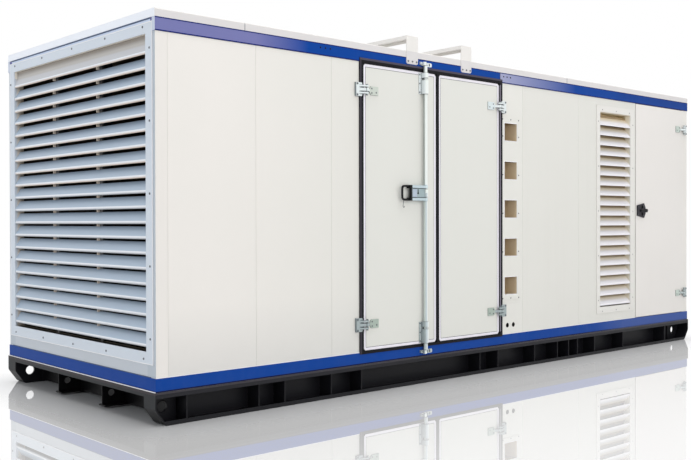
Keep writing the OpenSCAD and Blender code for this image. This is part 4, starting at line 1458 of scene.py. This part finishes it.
@dataclass
class Skid:
    """The steel skid under the enclosure.

    Attributes:
        weld: Radius of the weld round each lifting hole.
        clear: Distance from the hole's edge to the middle of its weld.
        bead: Height of the pale bead along its ends, whose white also paints the ledge's highlight.
    """

    weld: float = 0.0035
    clear: float = 0.004
    bead: float = 0.006

    def build(self) -> None:
        """Dresses the skid and adds its welds and beads."""
        dress(SKID, "skid_front_beam", "skid_rear_beam", "inner_beams", "cross_members")
        dress(SKID, "end_rails", "lifting_plates", "floor_plate")
        self.welds()
        self.beads()

    def welds(self) -> None:
        """Rings each lifting hole with a weld."""
        bench = Bench()
        for mount in frame["record"]["mounts"]:
            if not mount["name"].startswith("lift_hole"):
                continue
            side = math.copysign(1.0, mount["axis"][1])
            centre = Vector(mount["pos_m"])
            centre.y = side * (high("lifting_plates").y - 0.0002)
            radius = mount["dims"]["r_mm"] * MM + self.clear
            bench.ring_bar(centre, Vector((0.0, side, 0.0)), radius, self.weld)
        bench.piece("lifting_hole_welds", "root", SKID, "skid_paint")

    def beads(self) -> None:
        """Lays a pale bead on the ledge between each end rail and its sill; its white also paints
        the ledge's highlight.
        """
        sill, end = low("long_sills"), low("end_rails").x + 0.0005
        bars = [
            (Vector((x0, sill.y, sill.z)), Vector((x1, -sill.y, sill.z + self.bead)))
            for x0, x1 in ((end, sill.x), (-sill.x, -end))
        ]
        strip("end_rail_bead_highlights", bars, SEALANT_AND_HIGHLIGHT, "cream_paint", bevel=0.002)


@dataclass
class Bands:
    """Blue sills and bands with their joints.

    Attributes:
        joint_x: Place of the joint in the long bands.
        joint: Width of that joint.
        groups: Middle of each group of three bolts.
        pitch: Distance between the bolts of a group.
        rise: Height of the bolts above the band's lower edge.
        bead: Height of the white strips on the ledge, which paint its highlight.
        end_seal: Height and half the length of the seal on the end sill.
    """

    joint_x: float = 0.093
    joint: float = 0.005
    groups: tuple[float, ...] = (-2.033, 0.197)
    pitch: float = 0.05
    rise: float = 0.06
    bead: float = 0.006
    end_seal: tuple[float, float] = (0.005, 1.15)

    def build(self) -> None:
        """Dresses the sills and bands and adds bolts, joints, the white strips that paint the
        ledge's highlight, and the end sill's seal.
        """
        dress(BLUE, "long_sills", "end_sills", "long_bands")
        first, last = low("long_bands"), high("long_bands")
        row = [x + i * self.pitch for x in self.groups for i in (-1, 0, 1)]
        spots = [Vector((x, first.y, first.z + self.rise)) for x in row]
        Fixings("band_bolts", 0.0075, finish=BLACK_PLASTIC_AND_SHADE).put(spots, rear=True)
        start = Vector((self.joint_x, first.y - PROUD, first.z + SUNK))
        end = Vector((self.joint_x + self.joint, first.y + SUNK, last.z - SUNK))
        strip("band_joints", both([(start, end)]), BLACK_PLASTIC_AND_SHADE, "blue_paint")
        self.ledge_highlights_and_seal()

    def ledge_highlights_and_seal(self) -> None:
        """Lays white strips on the ledge of the sills, clear of the doors, as a painted highlight,
        and seals the end sill.
        """
        sill, wall = high("long_sills"), high("corner_posts")
        left = (-wall.x, low("door_surrounds").x - SUNK)
        right = (high("door_surrounds").x + SUNK, low("control_door").x - 0.008)
        ledge = [
            (Vector((x0, -sill.y + SUNK, sill.z)), Vector((x1, -wall.y, sill.z + self.bead)))
            for x0, x1 in (left, right)
        ]
        strip("sill_ledge_highlights", both(ledge), SEALANT_AND_HIGHLIGHT, "cream_paint", bevel=0.002)
        tall, half = self.end_seal
        seal = (Vector((-sill.x + SUNK, -half, sill.z)), Vector((-wall.x, half, sill.z + tall)))
        strip("end_sill_seal", [seal], DARK_LINE, "dark_frame")


@dataclass
class Walls:
    """Insulated wall panels, posts and the plate with the cable ports.

    Attributes:
        ports: Number of cable ports.
        pitch: Distance from port to port.
        tall: Height of a port.
        margin: Distance from the strip's end to the nearest port.
        side: Distance of the strip's screws from its long edges.
        end: Distance of its outer screws from its ends.
        rise: Height of the other screws above a port's lower side.
        rim: Distance from the duct's side to the port's.
        board: Thickness of the sleeves in the ports.
        sleeve: Depth of the sleeves.
    """

    ports: int = 5
    pitch: float = 0.359
    tall: float = 0.162
    margin: float = 0.05
    side: float = 0.011
    end: float = 0.014
    rise: float = 0.04
    rim: float = 0.02
    board: float = 0.004
    sleeve: float = 0.2

    def build(self) -> None:
        """Dresses the walls and fastens the port strip."""
        dress(CREAM, *(f"side_panels_{letter}" for letter in "abcd"))
        dress(CREAM, "rear_plain_panel", "louvre_panels", "right_end_wall")
        dress(POST, "corner_posts")
        dress(PORT_WALL, "port_panel", "port_strip", "pipe_plate")
        dress(KICK, "kick_panel", "end_headers")
        dress(LINING, "port_duct")
        first, last = low("port_strip"), high("port_strip")
        left, right = first.x + self.side, last.x - self.side
        heights = [first.z + self.margin + i * self.pitch for i in range(1, self.ports)]
        spots = [Vector((x, first.y, z + self.rise)) for z in heights for x in (left, right)]
        row = (left, (left + right) / 2, right)
        ends = (first.z + self.end, last.z - self.end)
        spots += [Vector((x, first.y, z)) for z in ends for x in row]
        Fixings("port_strip_screws", 0.0066).put(spots)
        self.rims()
        self.sleeves()

    def holes(self, inset: float) -> list[Bar]:
        """Returns the lowest and highest corner of each port, on the strip's face.

        Args:
            inset: Distance from the duct's side to the port's.

        Returns:
            The corners of each port, from the lowest one up.
        """
        first, last = low("port_strip"), high("port_strip")
        middle, half = (first.x + last.x) / 2, (high("port_duct") - low("port_duct")).x / 2 - inset
        heights = [first.z + self.margin + i * self.pitch for i in range(self.ports)]
        return [
            (Vector((middle - half, first.y, z)), Vector((middle + half, first.y, z + self.tall)))
            for z in heights
        ]

    def rims(self) -> None:
        """Rolls a fine rim round each port."""
        profile = (
            (-0.007, 0.0), (-0.005, 0.0016), (-0.002, 0.0022), (0.0, 0.0016), (0.0003, -0.003),
            (-0.001, -0.003),
        )
        bench = Bench()
        for first, last in self.holes(self.rim):
            bench.loop(first, last, 1, profile)
        bench.piece("port_rims", "root", SEALANT_AND_HIGHLIGHT, "cream_paint")

    def sleeves(self) -> None:
        """Lines each port with a board sleeve, closed at its back."""
        bench, t = Bench(), self.board
        for first, last in self.holes(self.rim + 0.0035):
            front, back = first.y + 0.006, first.y + self.sleeve
            left, right, bottom, top = first.x, last.x, first.z, last.z
            for start, end in (
                ((left - t, front, bottom - t), (left, back, top + t)),
                ((right, front, bottom - t), (right + t, back, top + t)),
                ((left, front, bottom - t), (right, back, bottom)),
                ((left, front, top), (right, back, top + t)),
                ((left - t, back, bottom - t), (right + t, back + t, top + t)),
            ):
                bench.block(Vector(start), Vector(end))
        bench.piece("port_sleeves", "root", SLEEVE, "cream_paint")


@dataclass
class SideLouvre:
    """Tall louvre beside the control door, on both long sides.

    Attributes:
        rows: Number of screws up each side of the frame.
        span: Height of its lowest and of its highest side screw above its lower edge.
        across: Places of the screws along its top and bottom, from its left edge.
        edge: Distance of the right and lower screws from the frame's edges.
        depth: Depth of a blade.
        fold: How far the back edge of a blade is folded up.
        sheet: Thickness of the hood's cheeks.
    """

    rows: int = 5
    span: tuple[float, float] = (0.136, 2.004)
    across: tuple[float, ...] = (0.108, 0.368, 0.623)
    edge: float = 0.02
    depth: float = 0.066
    fold: float = 0.019
    sheet: float = 0.004

    def build(self) -> None:
        """Dresses the louvre and screws its frame on."""
        dress(VENT, "louvre_frames")
        dress(BLADE, "side_louvre_blades")
        first, last = low("louvre_frames"), high("louvre_frames")
        sides = (first.x + 0.035, last.x - self.edge)
        ends = (first.z + self.edge, last.z - 0.042)
        heights = [first.z + z for z in spread(*self.span, self.rows)]
        spots = [Vector((x, first.y, z)) for z in heights for x in sides]
        spots += [Vector((first.x + x, first.y, z)) for x in self.across for z in ends]
        Fixings("louvre_screws", 0.0065, finish=SCREW).put(spots, rear=True)
        profile = (
            (0.0, -0.004), (-0.0015, 0.0), (-0.0008, 0.001), (0.0015, 0.001), (0.003, -0.001),
            (0.003, -0.004),
        )
        bench = Bench()
        bench.loop(first, Vector((last.x, first.y, last.z)), 1, profile)
        bench.piece("louvre_frame_edge", "root", VENT, "cream_paint")
        self.upstands()
        self.cheeks()

    def upstands(self) -> None:
        """Folds the back edge of each blade up."""
        first, last = low("side_louvre_blades"), high("side_louvre_blades")
        back = self.depth - last.y
        bars = []
        for foot in blade_feet("side_louvre_blades"):
            z = foot + BLADE_RISE
            start = Vector((first.x, back - 0.002, z - 0.003))
            bars.append((start, Vector((last.x, back, z + self.fold))))
        # Their brown paints the shade in the gap under each lip.
        strip("side_blade_folds", both(bars), UPSTAND, "louvre_paint")

    def cheeks(self) -> None:
        """Closes the hood behind the louvre at both sides."""
        first, last = low("side_louvre_blades"), high("side_louvre_blades")
        near, far = 0.075 - last.y, 0.15 - last.y
        top = high("louvre_frames").z - 0.066
        bars = [
            (Vector((x, near, top - 0.06)), Vector((x + self.sheet, far, top)))
            for x in (first.x - self.sheet, last.x)
        ]
        strip("side_hood_cheeks", both(bars), VENT, "cream_paint")


@dataclass
class EndLouvre:
    """The louvred end of the enclosure.

    Attributes:
        across: Places of the screws along its top and bottom.
        down: Places of the screws at its sides.
        ends: Distance of the lower and of the upper row from the frame's edges.
        side: Height of a side's lowest screw above the frame's edge, and the pitch.
        lip: Width of the folded edge.
        depth: Depth of a blade's slope.
        tooth: Width of a tooth.
        seal: Half the length of the dark strip under the header, which paints the shadow of the
            roof's overhang.
    """

    across: tuple[float, ...] = (-1.06, -0.523, 0.008, 0.542, 1.081)
    down: tuple[float, float] = (-1.149, 1.167)
    ends: tuple[float, float] = (0.033, 0.025)
    side: tuple[float, float] = (0.174, 0.492)
    lip: float = 0.004
    depth: float = 0.043
    tooth: float = 0.007
    seal: float = 1.153

    def build(self) -> None:
        """Dresses the louvre, screws its frame on and folds its edges."""
        dress(FRAME, "end_louvre_frame")
        dress(COMB, "end_louvre_mullions")
        self.blades()
        self.teeth()
        first, last = low("end_louvre_frame"), high("end_louvre_frame")
        rows = (first.z + self.ends[0], last.z - self.ends[1])
        heights = [first.z + self.side[0] + i * self.side[1] for i in range(5)]
        spots = [Vector((first.x, y, z)) for y in self.across for z in rows]
        spots += [Vector((first.x, y, z)) for y in self.down for z in heights]
        Fixings("end_frame_screws", 0.0085).put(spots, axis=LEFT)
        self.edges(first, last)
        # A dark strip under the header paints the shadow of the roof's overhang.
        band = high("long_bands")
        start = Vector((-band.x + 0.0005, -self.seal, band.z - 0.009))
        end = Vector((-band.x + 0.0065, self.seal, band.z - SUNK))
        strip("header_shadow_line", [(start, end)], DARK_LINE, "dark_frame")

    def blades(self) -> None:
        """Folds the row of blades: a hemmed lip, a round bend and a slope.

        A profile's points are a depth behind the face and a height above the blade's foot. The
        head blade has the same lip, and then runs up behind the frame.
        """
        first, last = low("end_louvre_blades"), high("end_louvre_blades")
        front = [(0.005, 0.0), (0.0, 0.0065), (0.0, 0.0145), (0.0009, 0.0185), (0.0032, 0.0225)]
        back = [
            (0.0045, 0.0215), (0.0022, 0.018), (0.0016, 0.0145), (0.0016, 0.0075), (0.006, 0.0012)
        ]
        slope = [(self.depth, BLADE_RISE - 0.001), (self.depth, BLADE_RISE - 0.003)]
        riser = [(0.021, 0.083), (0.0225, 0.1355), (0.0245, 0.1355), (0.0235, 0.081)]
        feet = blade_feet("end_louvre_blades")
        bench = Bench()
        for z in feet:
            profile = [*front, *(riser if z == feet[-1] else slope), *back]
            bench.skin([
                [bench.mesh.verts.new((first.x + x, y, z + up)) for x, up in profile]
                for y in (first.y, last.y)
            ])
        made = bench.piece("end_louvre_row", "root", BLADES, "louvre_paint")
        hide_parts("end_louvre_blades")

    def teeth(self) -> None:
        """Sets a tooth of each upright under every lip; their pale tan paints the light on the
        uprights' front edges.
        """
        face, half = low("end_louvre_blades").x, self.tooth / 2
        inset = 0.018
        bars = [
            (
                Vector((face + 0.008, y - half, z - 0.019)),
                Vector((face + 0.03, y + half, z + 0.015))
            )
            for y in (low("end_louvre_mullions").y + inset, high("end_louvre_mullions").y - inset)
            for z in blade_feet("end_louvre_blades")[1:]
        ]
        strip("upright_teeth", bars, TOOTH, "louvre_paint")

    def edges(self, first: Vector, last: Vector) -> None:
        """Folds a white edge round the frame, which paints the highlight along its rim.

        Args:
            first: Lowest corner of the frame.
            last: Highest corner of the frame.
        """
        lip, over = self.lip, self.lip * 0.4
        profile = (
            (0.0, -0.005), (-over, -0.003), (-over, 0.0), (0.0, 0.0012), (lip, 0.0012),
            (lip * 1.6, -0.001), (lip, -0.005),
        )
        bench = Bench()
        bench.loop(first, Vector((first.x, last.y, last.z)), 0, profile)
        bench.piece("end_frame_edge", "root", SEALANT_AND_HIGHLIGHT, "louvre_paint")


@dataclass(frozen=True)
class Hinge:
    """Bolts of one hinge, placed from the middle of its pin.

    Attributes:
        foot: Distance from the pin to the bolts of the foot plate.
        rise: Half the distance between those bolts.
        reach: Distance from the pin to the strap's far bolt.
        gap: Distance from there to its two near bolts.
        half: Half the distance between the near bolts.
    """

    foot: float = 0.094
    rise: float = 0.044
    reach: float = 0.122
    gap: float = 0.05
    half: float = 0.018

    def foot_spots(self, pin: Vector, side: float, face: float) -> list[Vector]:
        """Returns the bolts of the foot plate.

        Args:
            pin: Middle of the pin.
            side: 1 for a leaf towards +X, -1 for one towards -X.
            face: Outer face of the foot plate.

        Returns:
            The bolts' places.
        """
        x = pin.x - side * self.foot
        return [Vector((x, face, pin.z + self.rise * k)) for k in (-1, 1)]

    def strap_spots(self, pin: Vector, side: float, face: float) -> list[Vector]:
        """Returns the bolts of the strap.

        Args:
            pin: Middle of the pin.
            side: 1 for a leaf towards +X, -1 for one towards -X.
            face: Outer face of the strap.

        Returns:
            The bolts' places.
        """
        far, near = pin.x + side * self.reach, pin.x + side * (self.reach - self.gap)
        spots = ((far, -0.012), (near, self.half), (near, -self.half))
        return [Vector((x, face, pin.z + up)) for x, up in spots]


@dataclass
class Doors:
    """The double door and the control door with their hinges.

    Attributes:
        plate: How far the foot plates stand out of the surround.
        inset: Distance from the straps' ends to the middle of the outer hinges.
        cap: Distance from the middle of a hinge to its pin's ends.
    """

    plate: float = 0.008
    inset: float = 0.035
    cap: float = 0.0422

    def build(self) -> None:
        """Dresses the doors and bolts their hinges on."""
        dress(DOOR, "left_door", "right_door", "rear_doors")
        dress(CONTROL, "control_door")
        dress(GASKET, "door_surrounds")
        dress(SILVER, "hinge_brackets", "rear_straps")
        dress(SILVER, "left_door_straps", "right_door_straps", "control_door_straps")
        heights = (
            low("left_door_straps").z + self.inset, high("left_door_straps").z - self.inset,
        )
        strap_face = high("left_door_straps").y - 0.008
        foot_face = -(high("corner_posts").y + 0.012 + self.plate)
        pins = {joint["name"]: joint["pos_m"] for joint in frame["record"]["behaviour"]["joints"]}
        feet, caps = [], []
        for door, side, hinge in (
            ("left_door", 1.0, Hinge()),
            ("right_door", -1.0, Hinge()),
            ("control_door", -1.0, Hinge(foot=0.066)),
        ):
            x, y, _ = pins[f"{door}_hinge"]
            straps = []
            for z in heights:
                pin = Vector((x, y, z))
                feet += hinge.foot_spots(pin, side, foot_face)
                straps += hinge.strap_spots(pin, side, strap_face)
                caps.append(pin)
            Fixings(f"{door}_strap_bolts", 0.0065, body=door).put(straps, rear=True)
        Fixings("hinge_foot_bolts", 0.0075, Head.HEX).put(feet, rear=True)
        self.pin_caps(caps)

    def pin_caps(self, pins: Iterable[Vector]) -> None:
        """Caps the pins of each hinge with dark discs, on both long sides.

        Args:
            pins: Middle of each pin on the front.
        """
        bench = Bench()
        steps = [(-0.0006, 0.0092), (0.0018, 0.0092), (0.0034, 0.006)]
        for pin in pins:
            for way in (-1.0, 1.0):
                for y in (pin.y, -pin.y):
                    bench.turned(Vector((pin.x, y, pin.z + way * self.cap)), UP * way, steps, 14)
        bench.piece("hinge_pin_caps", "root", DULL, "zinc_steel")


@dataclass
class LockGear:
    """Lock rod, guides, keepers, lever and grip of the double door.

    Attributes:
        wire: Radius of the hook's wire.
        bar: Thickness of the grip's bar.
        stand: How far the grip reaches past its solid.
        bend: Depth of the grip's round.
        square: How round its corners are, where 1 is an ellipse and 0 a square.
        sheath: Length of the sheaths over the lever's rails.
    """

    wire: float = 0.0025
    bar: float = 0.017
    stand: float = 0.012
    bend: float = 0.05
    square: float = 0.42
    sheath: float = 0.026

    def build(self) -> None:
        """Dresses the lock gear and adds bolts, slots and the hook."""
        dress(SILVER, "lock_keepers", "lock_guides", "lock_rod", "lock_handle", "rear_lock_gear")
        self.grip()
        self.guide_bolts()
        self.keeper_marks()
        self.hook()

    def grip(self) -> None:
        """Moulds the D-shaped grip with its tongue and the sheaths over the rails."""
        first, last = low("lock_grip"), high("lock_grip")
        y, half = (first.y + last.y) / 2, self.bar / 2
        left, bottom, top = first.x + half - self.stand, first.z + half, last.z - half
        root, middle = last.x - 0.0135, (first.z + last.z) / 2
        path = [Vector((root, y, top))]
        for a in spread(math.pi / 2, 3 * math.pi / 2, 15):
            reach = abs(math.cos(a)) ** self.square
            rise = math.copysign(abs(math.sin(a)) ** self.square, math.sin(a))
            x = left + self.bend * (1.0 - reach)
            path.append(Vector((x, y, middle + rise * (top - bottom) / 2)))
        path.append(Vector((root, y, bottom)))
        bench = Bench()
        bench.sweep(path, self.bar, last.y - first.y, 0.004)
        tongue = 0.0395
        start = Vector((root, first.y, middle - tongue))
        bench.block(start, Vector((last.x - 0.0008, last.y, middle + tongue)))
        rail, back = low("lock_handle"), high("lock_handle").y
        for z0, z1 in ((first.z, first.z + self.sheath), (last.z - self.sheath, last.z)):
            start = Vector((rail.x - 0.002, rail.y - 0.002, z0))
            bench.block(start, Vector((rail.x + 0.02, back, z1)))
        # Dark strips along the rails paint the shadow where the plate sits recessed under them.
        near, far, end = rail.y + 0.009, rail.y + 0.016, high("lock_handle").x - 0.021
        shadow_lines = [
            (Vector((last.x + 0.002, near, z)), Vector((end, far, z + 0.0036)))
            for z in (middle - 0.0404, middle + 0.0378)
        ]
        strip("lock_rail_shadow_lines", shadow_lines, BLACK_PLASTIC_AND_SHADE, "dark_frame", body="lock_rod")
        made = bench.piece("lock_grip_loop", "lock_rod", BLACK_PLASTIC_AND_SHADE, "dark_frame", bevel=0.0012)
        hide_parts("lock_grip")

    def guide_bolts(self) -> None:
        """Bolts the guides to the leaf: three on their left flange and two on their right."""
        first, last = low("lock_guides"), high("lock_guides")
        face, edge = low("left_door").y - 0.006, 0.009
        rows = ((first.x + edge, (0.014, 0.088, 0.164)), (last.x - edge, (0.014, 0.126)))
        spots = [
            Vector((x, face, z + up))
            for z in (first.z, last.z - 0.178)
            for x, heights in rows
            for up in heights
        ]
        Fixings("guide_bolts", 0.0068, body="left_door").put(spots, rear=True)

    def keeper_marks(self) -> None:
        """Adds the bolts of each keeper and a black pill that paints the shade in its slot."""
        first, last = low("lock_keepers"), high("lock_keepers")
        face, middle = low("long_sills").y - 0.004, 0.017
        bench, spots = Bench(), []
        for z in (first.z + middle, last.z - middle):
            for side in (1.0, -1.0):
                centre = Vector((last.x - 0.03, side * face, z))
                bench.pill(centre, Vector((0.0, -side, 0.0)), 0.022, 0.011, 0.0012)
            spots += [Vector((x, face, z)) for x in (first.x + 0.0285, last.x - 0.0595)]
        bench.piece("keeper_slots", "root", BLACK_PLASTIC_AND_SHADE, "dark_frame")
        Fixings("keeper_bolts", 0.005).put(spots, rear=True)

    def hook(self) -> None:
        """Hangs a small wire hook from the grip."""
        first, last = low("lock_grip"), high("lock_grip")
        x, y, z = first.x + 0.012, (first.y + last.y) / 2, first.z
        shank = ((0.004, 0.012), (0.002, -0.004), (-0.002, -0.022), (-0.005, -0.04))
        path = [Vector((x + aside, y, z + up)) for aside, up in shank]
        for a in spread(0.0, math.pi, 7):
            aside, drop = 0.003 - 0.008 * math.cos(a), 0.046 + 0.011 * math.sin(a)
            path.append(Vector((x + aside, y, z - drop)))
        bench = Bench()
        bench.wire(path, self.wire)
        bench.piece("grip_hook", "lock_rod", DULL, "zinc_steel", smooth=60.0)


@dataclass
class ControlLatch:
    """Dish and paddle of the control door's latch.

    Attributes:
        left: Distance of the left screws from the dish's side, and from its ends.
        right: The same of the right screws.
        boss: Distance from the dish's side to the middle of the paddle's screw.
    """

    left: tuple[float, float] = (0.013, 0.04)
    right: tuple[float, float] = (0.042, 0.025)
    boss: float = 0.065

    def build(self) -> None:
        """Dresses the latch and screws its dish on."""
        dress(DISH, "control_dish")
        dress(BLACK_PLASTIC_AND_SHADE, "control_paddle")
        first, last = low("control_dish"), high("control_dish")
        columns = ((first.x + self.left[0], self.left[1]), (last.x - self.right[0], self.right[1]))
        spots = [
            Vector((x, first.y, z)) for x, end in columns for z in (first.z + end, last.z - end)
        ]
        Fixings("dish_screws", 0.0045, body="control_door").put(spots)
        paddle, top = low("control_paddle"), high("control_paddle").z
        centre = Vector((first.x + self.boss, paddle.y, (paddle.z + top) / 2))
        bench = Bench()
        bench.turned(centre, OUT, [(-0.001, 0.0085), (0.002, 0.0085), (0.0045, 0.006)], 16)
        bench.piece("paddle_screw", "control_paddle", BLACK_PLASTIC_AND_SHADE, "dark_frame")


@dataclass
class Roof:
    """Roof sections and the hoops over them.

    Attributes:
        leg: Half the width of a hoop's foot.
        across: Distance of the outer screws of a foot from its middle.
        rise: Height of the screws above the foot's lower edge.
        line: Width of the joints.
        edge: Distance of the joint on top from the roof's edges.
    """

    leg: float = 0.068
    across: float = 0.05
    rise: float = 0.023
    line: float = 0.006
    edge: float = 0.006

    def build(self) -> None:
        """Dresses the roof and its hoops and adds joints and screws."""
        dress(ROOF, "roof_left", "roof_middle", "roof_right", "roof_hoops")
        first, last = low("roof_hoops"), high("roof_hoops")
        legs = (first.x + self.leg, last.x - self.leg)
        row = [x + aside for x in legs for aside in (-self.across, 0.0, self.across)]
        spots = [Vector((x, first.y, first.z + self.rise)) for x in row]
        Fixings("hoop_screws", 0.0078, Head.HEX).put(spots, rear=True)
        self.joints()

    def joints(self) -> None:
        """Lays a cover strip over each joint of the roof."""
        side, foot, top = low("roof_left").y, low("roof_left").z, high("roof_left").z
        proud, below = 0.0008, top - self.edge
        bars = []
        for x in (high("roof_left").x, high("roof_middle").x):
            a, b = x - self.line / 2, x + self.line / 2
            for start, end in (
                ((a, side - proud, foot), (b, side + SUNK, below)),
                ((a, -side - SUNK, foot), (b, -side + proud, below)),
                ((a, side + self.edge, top - SUNK), (b, -side - self.edge, top + proud)),
            ):
                bars.append((Vector(start), Vector(end)))
        strip("roof_joints", bars, LINE, "cream_paint")


def main() -> None:
    """Builds the studio and the object's sub-assemblies in order."""
    logging.basicConfig(level=logging.INFO, format="%(name)s: %(message)s")
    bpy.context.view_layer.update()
    for part in (
        Studio(), Skid(), Bands(), Walls(), SideLouvre(), EndLouvre(), Doors(), LockGear(),
        ControlLatch(), Roof()
    ):
        part.build()
        log.info("%s done", type(part).__name__)
    bpy.context.view_layer.update()


if __name__ == "__main__":
    main()
